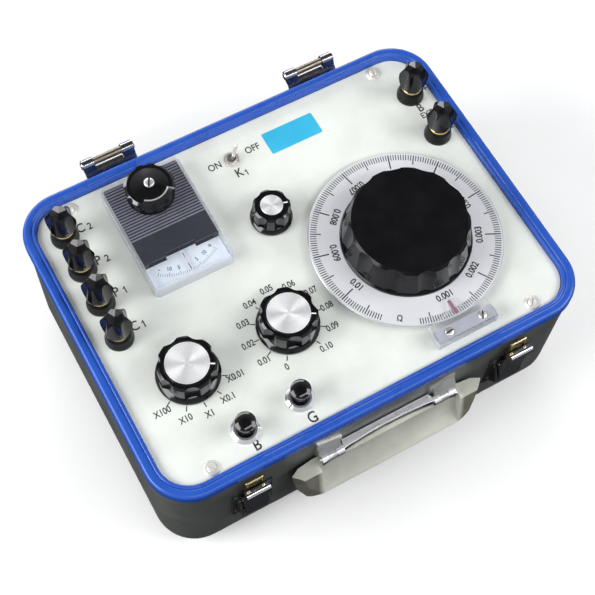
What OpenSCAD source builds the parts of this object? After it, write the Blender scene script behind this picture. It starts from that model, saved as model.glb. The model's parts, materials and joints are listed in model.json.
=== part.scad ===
// Portable double bridge for low resistances: a steel carrying case with a
// recessed instrument panel, galvanometer, slide-wire dial, range switches,
// six binding posts, two press keys, folding handle, latches and lid hinges.
// Millimetres. Z up, the panel faces up, the handle is at the front (-Y).

/* [Case] */
// Width of the case from left to right
case_w = 300; // [280:1:320]
// Depth of the case without handle and hinges
case_d = 226; // [212:1:240]
// Height of the rim's top above the table
rim_z = 110; // [104:1:120]
// Radius of the upright corners
corner_r = 29; // [24:0.5:32]
// Radius of the rounded bottom edge
edge_r = 12; // [8:0.5:14]
// Thickness of the steel sheet
wall = 1.6; // [1.2:0.1:2.4]
// Height of the rubber feet
foot_h = 5; // [4:0.5:8]
// Radius of a rubber foot
foot_r = 8; // [6:0.5:10]
// Distance of a foot's middle from the sides of the case
foot_in = 34; // [30:1:40]

/* [Rim and panel] */
// Width of the blue rim seen from above
rim_w = 8.7; // [8:0.1:11]
// Height of the blue rim
rim_h = 7; // [6:0.5:10]
// Distance the rim stands out over the tub's wall
rim_over = 1.5; // [0.5:0.1:2]
// Depth of the panel's face below the rim's top
panel_drop = 4; // [3:0.5:5]
// Thickness of the panel
panel_t = 3; // [2:0.5:4]
// Gap all round between panel and rim
panel_gap = 0.3; // [0.2:0.1:0.6]
// Width of the ledge that carries the panel, front and rear
ledge_w = 8.8; // [8:0.1:9]
// Width of the ledge at the left and right
side_ledge = 7.5; // [6:0.5:8]
// Distance of a panel screw from the left or right side of the case
screw_side = 36.5; // [32:0.5:42]
// Distance of a panel screw from the front or rear side of the case
screw_end = 14.5; // [14:0.1:18]
// Radius of the cup washer under a panel screw
washer_r = 5.2; // [4:0.1:6]

/* [Galvanometer] */
// Middle of the meter, left to right
meter_x = -65; // [-68:0.5:-62]
// Distance of the meter's middle from the rear side of the case
meter_in = 57; // [55:0.5:60]
// Width of the clear cover
meter_w = 56; // [50:1:60]
// Depth of the clear cover
meter_d = 82; // [78:1:86]
// Height of the clear cover
meter_h = 12; // [10:0.5:14]
// Depth of the white scale window, front to rear
window_d = 18; // [15:0.5:21]
// Depth of the plain dark band behind the window
band_d = 18; // [14:0.5:20]
// Number of ribs across the dark part of the meter
ribs = 20; // [14:1:24]
// Thickness of the white scale plate
scale_t = 4; // [3.5:0.1:4.5]
// Width of the raised middle of the scale plate
tab_w = 20.6; // [18:0.2:24]
// Depth of the raised middle of the scale plate
tab_d = 2; // [1.5:0.1:3]
// Distance from the pointer's pivot to its tip
pointer_l = 36.5; // [34:0.5:40]
// Forward distance of the zero knob from the meter's middle
zero_dy = 22; // [20:0.5:24]
// Radius of the zero knob
zero_r = 15.5; // [13:0.5:17]

/* [Small knobs] */
// Middle of the sensitivity knob, left to right
sens_x = -2; // [-6:0.5:4]
// Middle of the sensitivity knob, front to rear
sens_y = 32.4; // [28:0.2:38]
// Skirt radius of the sensitivity knob
sens_r = 13.8; // [12:0.2:16]
// Middle of the step knob, left to right
step_x = -29.5; // [-34:0.5:-26]
// Middle of the step and multiplier knobs, front to rear
row_y = -39.3; // [-44:0.1:-36]
// Middle of the multiplier knob, left to right
mult_x = -98.5; // [-101:0.5:-94]
// Skirt radius of the step and multiplier knobs
knob_r = 20.2; // [18:0.2:22]
// Height of the step and multiplier knobs
knob_h = 17.5; // [15:0.5:20]
// Angle of a knob's pointer at the photographed setting
knob_turn = -30; // [-30:30:0]
// Lobes round a scalloped knob
lobes = 7; // [6:1:9]
// Radius of a knob's spindle
spindle_r = 3; // [2.5:0.1:3.5]
// Radial clearance of a turning or sliding fit
fit_gap = 0.05; // [0.03:0.01:0.08]

/* [Slide-wire dial] */
// Middle of the dial, left to right
dial_x = 65.5; // [62:0.5:68]
// Distance of the dial's middle from the front side of the case
dial_in = 90; // [88:0.5:93]
// Radius of the engraved dial
dial_r = 62.8; // [60:0.2:64]
// Thickness of the engraved dial
dial_t = 1.5; // [1:0.1:2]
// Radius of the large knob's skirt
grip_r = 42.6; // [39:0.2:45]
// Height of the large knob above the dial
grip_h = 23; // [18:0.5:26]
// Lobes round the large knob
grip_lobes = 12; // [10:1:14]
// Radius of the dial's shaft
shaft_r = 5; // [4:0.1:6]
// Radius of the slide wire's ring
wire_r = 47; // [42:0.5:49]

/* [Binding posts] */
// Distance of the left column from the left side of the case
post_in = 25.5; // [23:0.5:28]
// Distance of the rearmost post of the left column from the rear side
post_end = 31; // [29:0.5:35]
// Spacing of the left column
post_pitch = 26.5; // [25:0.1:28]
// Distance of the battery posts from the right side of the case
ext_in = 23; // [22:0.5:26]
// Distance of the rear battery post from the rear side of the case
ext_end = 41.5; // [37:0.5:45]
// Spacing of the battery posts
ext_pitch = 35.5; // [32:0.5:38]
// Radius at the foot of a post
post_r = 9.2; // [8:0.1:10]
// Radius of a post's brass stud
stud_r = 2.5; // [2:0.1:3]
// Height of a post's cap
cap_h = 19.4; // [17:0.2:22]
// Largest radius of a post's cap
cap_r = 9.8; // [9:0.1:10.4]

/* [Switches and keys] */
// Middle of the toggle switch, left to right
toggle_x = -4.5; // [-8:0.5:0]
// Distance of the toggle switch from the rear side of the case
toggle_end = 30.5; // [27:0.5:34]
// Lean of the toggle lever either way
toggle_lean = 11; // [9:0.5:12]
// Middle of the key at the left
key_b_x = -85; // [-90:0.5:-80]
// Middle of the key at the right
key_g_x = -46.5; // [-52:0.5:-42]
// Distance of both keys from the front side of the case
key_end = 25.6; // [23:0.2:29]
// Distance of the right key behind the left one
key_g_back = 2.3; // [0:0.1:3]
// Radius of a key's button
key_r = 6.35; // [5.5:0.05:7]
// Height of the button's underside over the panel
key_up = 13; // [10:0.5:15]
// Radius of a key's neck
neck_r = 4.6; // [4.4:0.1:5.2]
// Radius of a key's stem
stem_r = 4.1; // [3.5:0.1:4.3]
// Outer radius of a key's bezel
bezel_r = 9.2; // [8.5:0.1:9.6]

/* [Handle, latches, hinges] */
// Length of the grip
grip_l = 138; // [124:1:140]
// Distance the folded grip stands out beyond the rim
grip_out = 15.5; // [14:0.5:18]
// Height of the folded grip
grip_drop = 33; // [30:0.5:36]
// Length of the finger scoop in the grip's face
scoop_l = 101; // [96:1:104]
// Sideways distance of a handle bracket from the middle
bracket_x = 40.6; // [38:0.2:43]
// Depth of the handle's pivot below the rim's top
pivot_dz = 32.5; // [32:0.5:36]
// Sideways distance of a latch from the middle
latch_x = 94; // [90:0.5:98]
// Width of a latch lever
lever_w = 16; // [14:0.5:18]
// Depth of the lever's pivot below the rim's top
lever_dz = 59; // [56:0.5:62]
// Radius of the lever's rolled edge
roll_r = 3; // [2:0.1:3.4]
// Wire radius of a latch loop
loop_r = 1.2; // [1:0.1:1.4]
// Sideways distance of a lid hinge from the middle
hinge_x = 75.5; // [70:0.5:82]
// Distance the hinges stand out behind the case
hinge_out = 12.6; // [12:0.1:14]
// Depth of the hinge pins below the rim's top
hinge_drop = 0; // [0:0.1:2]
// Radius of a hinge knuckle
knuckle_r = 3.6; // [3.3:0.1:3.8]
// Radius of a hinge pin
pin_r = 2.2; // [1.8:0.1:2.4]

/* [Battery] */
// Radius of a battery cell
cell_r = 16.5; // [15.5:0.1:17]
// Length of a battery cell
cell_l = 61; // [58:0.5:63]
// Distance of the battery box's middle from the rear side of the case
box_in = 88; // [80:1:96]

/* [Hidden] */
$fn = 72;
panel_z = rim_z - panel_drop;
deck_z = panel_z - panel_t;
shell_z = rim_z - rim_h;
y_shift = (grip_out - hinge_out) / 2;
open_w = case_w - 2 * rim_w;
open_d = case_d - 2 * rim_w;
tub_w = case_w - 2 * rim_over;
tub_d = case_d - 2 * rim_over;
tub_r = corner_r - rim_over;
wall_y = -tub_d / 2;
screw_x = case_w / 2 - screw_side;
screw_y = case_d / 2 - screw_end;
meter_y = case_d / 2 - meter_in;
dial_y = dial_in - case_d / 2;
post_x = case_w / 2 - post_in;
post_y = case_d / 2 - post_end;
ext_x = case_w / 2 - ext_in;
ext_y = case_d / 2 - ext_end;
toggle_y = case_d / 2 - toggle_end;
key_y = key_end - case_d / 2;
key_g_y = key_y + key_g_back;
box_y = case_d / 2 - box_in;
posts_left = [for (i = [0:3]) [-post_x, post_y - i * post_pitch]];
posts_right = [for (i = [0:1]) [ext_x, ext_y - i * ext_pitch]];
post_list = concat(posts_left, posts_right);
base_h = 9;
seat_h = 1;
ring_h = 1.6;
ring_z = panel_z + base_h + seat_h;
cap_z = ring_z + ring_h;
dial_z = rim_z;
hub_h = 1.4;
knob_z = panel_z + 1;
nut_h = 2.2;
flange_h = 3;
meter_front = meter_y - meter_d / 2;
meter_wall = 1.6;
meter_in_w = meter_w - 2 * meter_wall;
window_y = meter_front + meter_wall + window_d + 0.4;
body_rear = meter_y + meter_d / 2 - meter_wall - 0.4;
pivot_y = meter_front + 6.5 + pointer_l;
zero_y = meter_y + zero_dy;
meter_top = panel_z + meter_h;
arm_z = deck_z - 20;
wire_z = arm_z - 5;
pivot_z = rim_z - pivot_dz;
pivot_wy = wall_y - 6;
eye_r = 3;
eye_l = 15.6;
grip_top = pivot_z - eye_r - 1;
grip_face = -case_d / 2 - grip_out;
grip_back = wall_y - 1.8;
cursor_w = 43;
cursor_hole = 12;
lever_z = rim_z - lever_dz;
lever_y = wall_y - 4.5;
face_y = lever_y - 3.1;
face_t = 1.2;
loop_z = lever_z + 19.5;
loop_y = lever_y + 0.9;
knuckle_y = case_d / 2 + hinge_out - knuckle_r;
knuckle_z = rim_z - hinge_drop;
box_in_w = 2 * cell_l + 5;
box_in_d = 4 * cell_r + 3;
box_h = 2 * cell_r;

// Moves everything so that the whole object is centred front to rear.
module placed() {
  translate([0, y_shift, 0])
    children();
}

// Two opposite sloping faces of a cap's crown, one over each lobe.
module crown_faces(turn) {
  low = cap_h * 0.62;
  rotate(turn)
    translate([0, 2 * cap_r, 0])
      rotate([90, 0, 0])
        linear_extrude(4 * cap_r)
          polygon([[-cap_r - 1, -1], [cap_r + 1, -1], [cap_r + 1, low - 1], [cap_r - 0.4, low],
            [cap_r - 4.8, cap_h], [4.8 - cap_r, cap_h], [0.4 - cap_r, low], [-cap_r - 1, low - 1]]);
}

// The points of one half of an outline, then the same ones mirrored left to right.
function both_ways(half) =
  concat(half, [for (i = [len(half) - 1:-1:0]) [-half[i][0], half[i][1]]]);

// A hollow round piece.
module tube(r, hole, h) {
  difference() {
    cylinder(r = r, h = h);
    translate([0, 0, -1])
      cylinder(r = hole, h = h + 2);
  }
}

// A flat rectangle with round corners.
module round_rect(w, d, r) {
  square([w - 2 * r, d], center = true);
  square([w, d - 2 * r], center = true);
  for (x = [-1, 1], y = [-1, 1])
    translate([x * (w / 2 - r), y * (d / 2 - r)])
      circle(r = r);
}

module round_plate(w, d, r, h) {
  linear_extrude(h)
    round_rect(w, d, r);
}

// Section across a pan: square top edge, rounded bottom edge.
module pan_section(w, h, e) {
  translate([-w / 2, e])
    square([w, h - e]);
  translate([-w / 2 + e, 0])
    square([w - 2 * e, h]);
  for (s = [-1, 1])
    translate([s * (w / 2 - e), e])
      circle(r = e);
}

// A drawn pan: round upright corners r, round bottom edge e, flat top.
module pan(w, d, h, r, e) {
  translate([0, d / 2 - r, 0])
    rotate([90, 0, 0])
      linear_extrude(d - 2 * r)
        pan_section(w, h, e);
  translate([r - w / 2, 0, 0])
    rotate([90, 0, 90])
      linear_extrude(w - 2 * r)
        pan_section(d, h, e);
  for (x = [-1, 1], y = [-1, 1])
    translate([x * (w / 2 - r), y * (d / 2 - r), 0])
      rotate_extrude()
        intersection() {
          pan_section(2 * r, h, e);
          square([r, h]);
        }
}

// A round outline with scallops cut into it.
module scalloped(r, n, cut_r, depth) {
  difference() {
    circle(r = r);
    for (i = [0:n - 1])
      rotate((i + 0.5) * 360 / n)
        translate([r + cut_r - depth, 0])
          circle(r = cut_r);
  }
}

// Steel tub with a welded ledge for the panel.
module case_shell() {
  h = shell_z - foot_h;
  color([0.33, 0.34, 0.34])
    placed() {
      difference() {
        translate([0, 0, foot_h])
          pan(tub_w, tub_d, h, tub_r, edge_r);
        translate([0, 0, foot_h + wall])
          pan(tub_w - 2 * wall, tub_d - 2 * wall, h, tub_r - wall, edge_r - wall);
        translate([0, box_y, foot_h - 1])
          round_plate(box_in_w, box_in_d, 4, wall + 2);
      }
      translate([0, 0, shell_z - wall])
        linear_extrude(wall)
          difference() {
            round_rect(tub_w - wall, tub_d - wall, tub_r - wall / 2);
            round_rect(open_w - 2 * side_ledge, open_d - 2 * ledge_w, 12);
            for (x = [-1, 1], y = [-1, 1])
              translate([x * screw_x, y * screw_y])
                circle(r = 1.8);
          }
    }
}

// Section of the rim, u runs inwards from the outer edge.
module rim_section() {
  bead = 2.6;
  lip = 1.4;
  square([rim_w, rim_h - bead]);
  translate([bead, 0])
    square([1.3, rim_h]);
  for (u = [bead, bead + 1.3])
    translate([u, rim_h - bead])
      circle(r = bead);
  translate([rim_w - lip, rim_h - lip - 0.4])
    circle(r = lip);
  translate([rim_w - 2 * lip, 0])
    square([2 * lip, rim_h - lip - 0.4]);
}

// Folded blue rim: two beads with a groove between them.
module rim_frame() {
  color([0.16, 0.28, 0.80])
    placed()
      translate([0, 0, shell_z]) {
        for (m = [0, 1])
          mirror([0, m, 0])
            translate([corner_r - case_w / 2, -case_d / 2, 0])
              rotate([90, 0, 90])
                linear_extrude(case_w - 2 * corner_r)
                  rim_section();
        for (m = [0, 1])
          mirror([m, 0, 0])
            translate([-case_w / 2, case_d / 2 - corner_r, 0])
              rotate([90, 0, 0])
                linear_extrude(case_d - 2 * corner_r)
                  rim_section();
        for (x = [0, 1], y = [0, 1])
          mirror([x, 0, 0])
            mirror([0, y, 0])
              translate([case_w / 2 - corner_r, case_d / 2 - corner_r, 0])
                rotate_extrude(angle = 90)
                  translate([corner_r, 0])
                    mirror([1, 0])
                      rim_section();
      }
}

module feet() {
  color([0.08, 0.08, 0.08])
    placed()
      for (x = [-1, 1], y = [-1, 1])
        translate([x * (case_w / 2 - foot_in), y * (case_d / 2 - foot_in), 0]) {
          cylinder(r1 = foot_r - 1, r2 = foot_r, h = foot_h - 2);
          translate([0, 0, foot_h - 2])
            cylinder(r = foot_r, h = 2);
        }
}

// Instrument panel with all its holes.
module front_panel() {
  color([0.88, 0.91, 0.88])
    placed()
      translate([0, 0, deck_z])
        linear_extrude(panel_t)
          difference() {
            round_rect(open_w - 2 * panel_gap, open_d - 2 * panel_gap, corner_r - rim_w);
            for (x = [-1, 1], y = [-1, 1])
              translate([x * screw_x, y * screw_y])
                circle(r = 2.3);
            for (p = post_list)
              translate(p)
                circle(r = stud_r + 0.4);
            translate([meter_x, pivot_y])
              circle(r = 22.4);
            translate([meter_x, zero_y])
              circle(r = spindle_r + 2.4);
            for (x = [step_x, mult_x])
              translate([x, row_y])
                circle(r = spindle_r + 2.2);
            translate([sens_x, sens_y])
              circle(r = spindle_r + 2.2);
            translate([dial_x, dial_y])
              circle(r = shaft_r + 3.2);
            translate([toggle_x, toggle_y])
              circle(r = 4.6);
            for (p = [[key_b_x, key_y], [key_g_x, key_g_y]])
              translate(p)
                circle(r = 7);
          }
}

// Slotted pan-head screws in cup washers.
module panel_screws() {
  turns = [25, 80, 130, 50];
  color([0.78, 0.77, 0.74])
    placed()
      for (i = [0:3])
        translate([(i % 2 * 2 - 1) * screw_x, (i < 2 ? 1 : -1) * screw_y, panel_z]) {
          difference() {
            cylinder(r1 = washer_r, r2 = washer_r - 1.2, h = 1.3);
            translate([0, 0, 0.9])
              cylinder(r1 = washer_r - 2.2, r2 = washer_r - 1.7, h = 1);
          }
          difference() {
            union() {
              cylinder(r = 3, h = 1.4);
              translate([0, 0, 1.4])
                cylinder(r1 = 3, r2 = 2.1, h = 0.9);
            }
            rotate(turns[i])
              translate([-4, -0.4, 1.4])
                cube([8, 0.8, 2]);
          }
          translate([0, 0, -11])
            cylinder(r = 1.6, h = 11.5);
        }
}

module battery_cover() {
  color([0.30, 0.31, 0.31])
    placed()
      translate([0, box_y, foot_h - 1.4])
        difference() {
          round_plate(box_in_w + 18, box_in_d + 14, 6, 1.4);
          for (x = [-1, 1])
            translate([x * (box_in_w / 2 + 5), 0, -1])
              cylinder(r = 1.7, h = 4);
          for (i = [0:5])
            translate([-12.5 + 5 * i, -(box_in_d / 2) + 4, -0.4])
              linear_extrude(0.9)
                round_rect(2, 12, 0.95);
        }
}

// Black moulded box over the battery opening.
module battery_box() {
  t = 2;
  color([0.10, 0.10, 0.11])
    placed()
      translate([0, box_y, foot_h + wall])
        difference() {
          union() {
            round_plate(box_in_w + 2 * t, box_in_d + 2 * t, 5, box_h + t);
            round_plate(box_in_w + 16, box_in_d + 2 * t, 5, t);
          }
          translate([0, 0, -1])
            round_plate(box_in_w, box_in_d, 4, box_h + 1);
        }
}

module cells() {
  color([0.20, 0.28, 0.45])
    placed()
      for (x = [-1, 1], y = [-1, 1])
        translate([x * (cell_l / 2 + 0.6), box_y + y * (cell_r + 0.5), foot_h + cell_r])
          rotate([0, 90, 0]) {
            translate([0, 0, -cell_l / 2])
              cylinder(r = cell_r, h = cell_l - 1.5);
            translate([0, 0, cell_l / 2 - 2])
              cylinder(r = 4.5, h = 2);
          }
}

// Amplifier board under the panel with wound resistors.
module circuit_board() {
  w = 88;
  d = 48;
  drop = 14;
  x0 = case_w / 2 - w / 2 - 42;
  y0 = case_d / 2 - d / 2 - 17;
  color([0.10, 0.35, 0.20])
    placed()
      translate([x0, y0, deck_z - drop]) {
        translate([-w / 2, -d / 2, 0])
          cube([w, d, 1.6]);
        for (x = [-1, 1], y = [-1, 1])
          translate([x * (w / 2 - 4), y * (d / 2 - 4), 1.6])
            cylinder(r = 2.5, h = drop - 1.6);
        for (i = [0:4])
          translate([-30 + 15 * i, -8, -12]) {
            cylinder(r = 6, h = 1);
            cylinder(r = 4.5, h = 12);
            translate([0, 0, 9])
              cylinder(r = 6, h = 1);
          }
        for (i = [0:2])
          translate([-28 + 22 * i, 8, -4])
            cube([10, 7, 4]);
      }
}

// Clear cover over the galvanometer.
module meter_cover() {
  hole = spindle_r + 1;
  color([0.85, 0.90, 0.95, 0.35])
    placed()
      translate([meter_x, meter_y, panel_z])
        difference() {
          translate([0, 0, meter_h])
            mirror([0, 0, 1])
              pan(meter_w, meter_d, meter_h, 4, 2);
          translate([0, 0, meter_h - meter_wall])
            mirror([0, 0, 1])
              pan(meter_in_w, meter_d - 2 * meter_wall, meter_h, 2.4, 0.8);
          translate([0, zero_dy, 0])
            cylinder(r = hole, h = meter_h + 2);
        }
}

// Dark moulding with ribs, window notch and the movement's can below.
module meter_body() {
  h = meter_h - meter_wall - 0.4;
  half = meter_in_w / 2 - 0.4;
  d = body_rear - window_y;
  pitch = (d - band_d) / ribs;
  color([0.13, 0.14, 0.22])
    placed()
      difference() {
        union() {
          translate([meter_x - half, window_y, panel_z])
            cube([2 * half, d, h]);
          translate([meter_x, pivot_y, deck_z - 28])
            cylinder(r = 22, h = 28 + panel_t + 2);
          translate([meter_x, zero_y, deck_z - 7])
            cylinder(r = spindle_r + 2, h = 7 + panel_t + 2);
        }
        translate([meter_x - tab_w / 2 - fit_gap, window_y - 1, panel_z + scale_t - 1])
          cube([tab_w + 2 * fit_gap, tab_d + 1, h]);
        for (i = [0:ribs - 1])
          translate([meter_x - half - 1, window_y + band_d + (i + 0.5) * pitch, panel_z + h - 0.8])
            cube([2 * half + 2, pitch / 2, 2]);
        intersection() {
          translate([meter_x, pivot_y, panel_z + 4.2])
            cylinder(r = pointer_l, h = h - 5.6);
          translate([meter_x - half + 3, window_y - 1, panel_z])
            cube([2 * half - 6, pivot_y - window_y + 8, h]);
        }
        translate([meter_x, pivot_y, deck_z - 8])
          cylinder(r = 0.8 + fit_gap, h = panel_t + 13);
        translate([meter_x, zero_y, deck_z - 6])
          cylinder(r = spindle_r + fit_gap, h = 40);
      }
}

module meter_scale() {
  half = meter_in_w / 2 - 0.4;
  color([0.93, 0.95, 0.97])
    placed()
      union() {
        translate([meter_x - half, meter_front + meter_wall + 0.4, panel_z])
          cube([2 * half, window_d - 0.2, scale_t]);
        translate([meter_x - tab_w / 2, window_y - 1, panel_z + scale_t - 0.9])
          cube([tab_w, tab_d + 0.9, 0.9]);
      }
}

// Needle, hub and counterweight on a thin spindle.
module meter_pointer() {
  z = panel_z + 5;
  color([0.80, 0.10, 0.15])
    placed()
      translate([meter_x, pivot_y, 0]) {
        translate([0, 0, deck_z - 7])
          cylinder(r = 0.8, h = z + 2 - deck_z + 7);
        translate([0, 0, z])
          cylinder(r = 2.4, h = 1.6);
        translate([-0.25, -pointer_l, z + 0.5])
          cube([0.5, pointer_l, 0.6]);
        translate([-1, 0, z + 0.4])
          cube([2, 5, 0.8]);
      }
}

// Fluted zero knob with a shallow conical top.
module zero_knob() {
  z = meter_top + 0.4;
  h = 11.6;
  color([0.06, 0.06, 0.07])
    placed()
      translate([meter_x, zero_y, z]) {
        difference() {
          intersection() {
            linear_extrude(h)
              scalloped(zero_r + 1.1, 12, 2.8, 1.9);
            cylinder(r1 = zero_r - 0.6, r2 = zero_r + 1.1, h = h);
          }
          difference() {
            translate([0, 0, h - 1.4])
              cylinder(r = zero_r + 3, h = 3);
            translate([0, 0, h - 1.4])
              cylinder(r1 = zero_r + 1.2, r2 = zero_r - 1, h = 1.4);
          }
        }
        cylinder(r = zero_r, h = 1);
        translate([0, 0, h - 0.4])
          cylinder(r1 = zero_r - 1.8, r2 = 3.6, h = 2.8);
        translate([0, 0, deck_z - 4 - z])
          cylinder(r = spindle_r, h = z - deck_z + 4.5);
      }
}

// Toggle switch: box below, threaded neck and ring nut above.
module toggle_body() {
  neck = 4.2;
  color([0.75, 0.74, 0.70])
    placed()
      translate([toggle_x, toggle_y, 0])
        difference() {
          union() {
            translate([-6.5, -12, deck_z - 24])
              cube([13, 24, 22]);
            translate([0, 0, deck_z - 2])
              cylinder(r = 8, h = 2);
            translate([0, 0, deck_z - 1])
              cylinder(r = neck, h = panel_t + 4.4);
            translate([0, 0, panel_z])
              cylinder(r1 = 5.4, r2 = 5.1, h = 2.2);
            for (y = [-8, 0, 8])
              translate([-2.5, y - 0.5, deck_z - 29])
                cube([5, 1, 6]);
          }
          translate([0, 0, deck_z - 20])
            cylinder(r = neck - 1.2, h = 40);
          translate([0, 0, deck_z + 1])
            rotate([90, 0, 0])
              translate([0, 0, -3.9])
                cylinder(r = 0.8 + fit_gap, h = 7.8);
        }
}

module toggle_lever() {
  color([0.85, 0.84, 0.80])
    placed()
      translate([toggle_x, toggle_y, deck_z + 1]) {
        rotate([0, toggle_lean, 0]) {
          cylinder(r1 = 1.1, r2 = 1.5, h = 18);
          translate([0, 0, 18])
            sphere(r = 1.5);
          translate([0, 0, -9])
            cylinder(r = 1.1, h = 10);
        }
        rotate([90, 0, 0])
          translate([0, 0, -3.8])
            cylinder(r = 0.8, h = 7.6);
      }
}

// Scalloped knob with skirt, spindle below, recess above for its disc.
module knob(r, body_r, disc_r, h, n) {
  difference() {
    union() {
      cylinder(r = r, h = 1.6);
      translate([0, 0, 1.6])
        cylinder(r1 = r, r2 = body_r + 0.6, h = 1.4);
      intersection() {
        linear_extrude(h)
          scalloped(body_r, n, body_r * 0.42, body_r * 0.13);
        union() {
          cylinder(r1 = body_r + 0.6, r2 = body_r - 0.2, h = h - 1.2);
          translate([0, 0, h - 1.2])
            cylinder(r1 = body_r - 0.2, r2 = body_r - 1.6, h = 1.2);
        }
      }
    }
    translate([0, 0, -1])
      cylinder(r = spindle_r + 5.6, h = nut_h + 1.6);
    translate([0, 0, h - 0.7])
      cylinder(r = disc_r + 0.1, h = 2);
  }
}

module spindle(bottom) {
  translate([0, 0, bottom])
    cylinder(r = spindle_r, h = knob_z + 6 - bottom);
}

module step_knob() {
  color([0.05, 0.05, 0.06])
    placed()
      translate([step_x, row_y, 0]) {
        translate([0, 0, knob_z])
          rotate(knob_turn)
            knob(knob_r, knob_r - 1.8, knob_r - 5.7, knob_h, lobes);
        spindle(deck_z - 34);
      }
}

module mult_knob() {
  color([0.05, 0.05, 0.06])
    placed()
      translate([mult_x, row_y, 0]) {
        translate([0, 0, knob_z])
          rotate(knob_turn)
            knob(knob_r, knob_r - 1.8, knob_r - 5.7, knob_h, lobes);
        spindle(deck_z - 34);
      }
}

module sens_knob() {
  color([0.05, 0.05, 0.06])
    placed()
      translate([sens_x, sens_y, 0]) {
        translate([0, 0, knob_z])
          rotate(knob_turn + 13)
            knob(sens_r, sens_r - 1.4, sens_r - 6.4, knob_h - 2, lobes);
        spindle(deck_z - 12);
      }
}

module knob_disc(r) {
  cylinder(r = r, h = 0.8);
  translate([0, 0, 0.8])
    cylinder(r1 = r, r2 = r - 0.3, h = 0.3);
}

module step_cap() {
  color([0.86, 0.86, 0.87])
    placed()
      translate([step_x, row_y, knob_z + knob_h - 0.7])
        knob_disc(knob_r - 5.7);
}

module mult_cap() {
  color([0.86, 0.86, 0.87])
    placed()
      translate([mult_x, row_y, knob_z + knob_h - 0.7])
        knob_disc(knob_r - 5.7);
}

module sens_cap() {
  color([0.86, 0.86, 0.87])
    placed()
      translate([sens_x, sens_y, knob_z + knob_h - 2.7])
        knob_disc(sens_r - 6.4);
}

// Potentiometer can with three tags.
module sens_pot() {
  color([0.55, 0.52, 0.45])
    placed()
      translate([sens_x, sens_y, deck_z - flange_h - 12])
        difference() {
          union() {
            cylinder(r = 12, h = 12);
            for (a = [-25, 0, 25])
              rotate(a - 90)
                translate([11, -1.2, 1])
                  cube([7, 2.4, 0.8]);
          }
          translate([0, 0, 2])
            cylinder(r = spindle_r + 0.4, h = 20);
        }
}

// Rotary switch: plate, three wafers with tags, two pillars.
module rotary_switch(ways) {
  top = deck_z - flange_h;
  difference() {
    union() {
      translate([0, 0, top - 3])
        cylinder(r = 17, h = 3);
      for (k = [0:2])
        translate([0, 0, top - 12 - 8 * k]) {
          cylinder(r = 18, h = 1.6);
          for (i = [0:ways - 1])
            rotate(i * 30)
              translate([16.5, -0.8, 0.4])
                cube([5, 1.6, 0.8]);
        }
      for (s = [-1, 1])
        translate([s * 13.5, 0, top - 30])
          cylinder(r = 2, h = 28);
    }
    translate([0, 0, top - 32])
      cylinder(r = spindle_r + 0.5, h = 34);
  }
}

module step_switch() {
  color([0.62, 0.48, 0.28])
    placed()
      translate([step_x, row_y, 0])
        rotary_switch(11);
}

module mult_switch() {
  color([0.62, 0.48, 0.28])
    placed()
      translate([mult_x, row_y, 0])
        rotary_switch(10);
}

// One threaded bush with its flange below and its nut above the panel.
module bush(bore, neck, flange) {
  difference() {
    union() {
      translate([0, 0, deck_z - flange_h])
        cylinder(r = flange, h = flange_h);
      translate([0, 0, deck_z - 0.5])
        cylinder(r = neck, h = panel_t + nut_h + 1);
      translate([0, 0, panel_z])
        cylinder(r = neck + 1.9, h = nut_h, $fn = 6);
    }
    translate([0, 0, deck_z - 10])
      cylinder(r = bore, h = 40);
  }
}

module shaft_bushes() {
  color([0.72, 0.60, 0.33])
    placed() {
      for (x = [step_x, mult_x])
        translate([x, row_y, 0])
          bush(spindle_r + fit_gap, spindle_r + 2, 9);
      translate([sens_x, sens_y, 0])
        bush(spindle_r + fit_gap, spindle_r + 2, 9);
      translate([dial_x, dial_y, 0])
        difference() {
          union() {
            translate([0, 0, deck_z - flange_h])
              cylinder(r = 14, h = flange_h);
            translate([0, 0, deck_z - 0.5])
              cylinder(r = shaft_r + 3, h = panel_t + 2.5);
          }
          translate([0, 0, deck_z - 10])
            cylinder(r = shaft_r + fit_gap, h = 40);
        }
    }
}

// Insulating ring with the resistance wire wound in its groove.
module slide_wire() {
  half = 3.5;
  color([0.35, 0.20, 0.10])
    placed()
      translate([dial_x, dial_y, 0])
        difference() {
          union() {
            translate([0, 0, wire_z - 6])
              tube(wire_r + half, wire_r - half, 6);
            translate([0, 0, wire_z])
              rotate_extrude()
                translate([wire_r, -0.2])
                  circle(r = 1.1);
            for (i = [0:3])
              rotate(45 + 90 * i) {
                translate([wire_r + half - 1, -4, wire_z - 6])
                  cube([9, 8, 3]);
                translate([wire_r + half + 4, 0, wire_z - 6])
                  cylinder(r = 3, h = deck_z - wire_z + 6);
              }
          }
        }
}

// Shaft, hub under the dial, wiper arm and its contact.
module main_shaft() {
  color([0.70, 0.70, 0.72])
    placed()
      translate([dial_x, dial_y, 0]) {
        translate([0, 0, arm_z - 6])
          cylinder(r = shaft_r, h = dial_z + 14 - arm_z + 6);
        translate([0, 0, dial_z - hub_h])
          cylinder(r = 15, h = hub_h);
        translate([0, 0, arm_z - 3])
          cylinder(r = 9, h = 6);
        translate([0, -wire_r - 2, arm_z - 1.6])
          translate([-3, 0, 0])
            cube([6, wire_r + 2, 1.6]);
        translate([0, -wire_r, wire_z + 1.3])
          cylinder(r = 2, h = arm_z - wire_z - 2);
      }
}

module main_dial() {
  color([0.82, 0.83, 0.85])
    placed()
      translate([dial_x, dial_y, dial_z])
        difference() {
          union() {
            cylinder(r = dial_r, h = dial_t - 0.3);
            translate([0, 0, dial_t - 0.3])
              cylinder(r1 = dial_r, r2 = dial_r - 0.3, h = 0.3);
          }
          translate([0, 0, -1])
            cylinder(r = shaft_r + 0.15, h = 4);
        }
}

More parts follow.
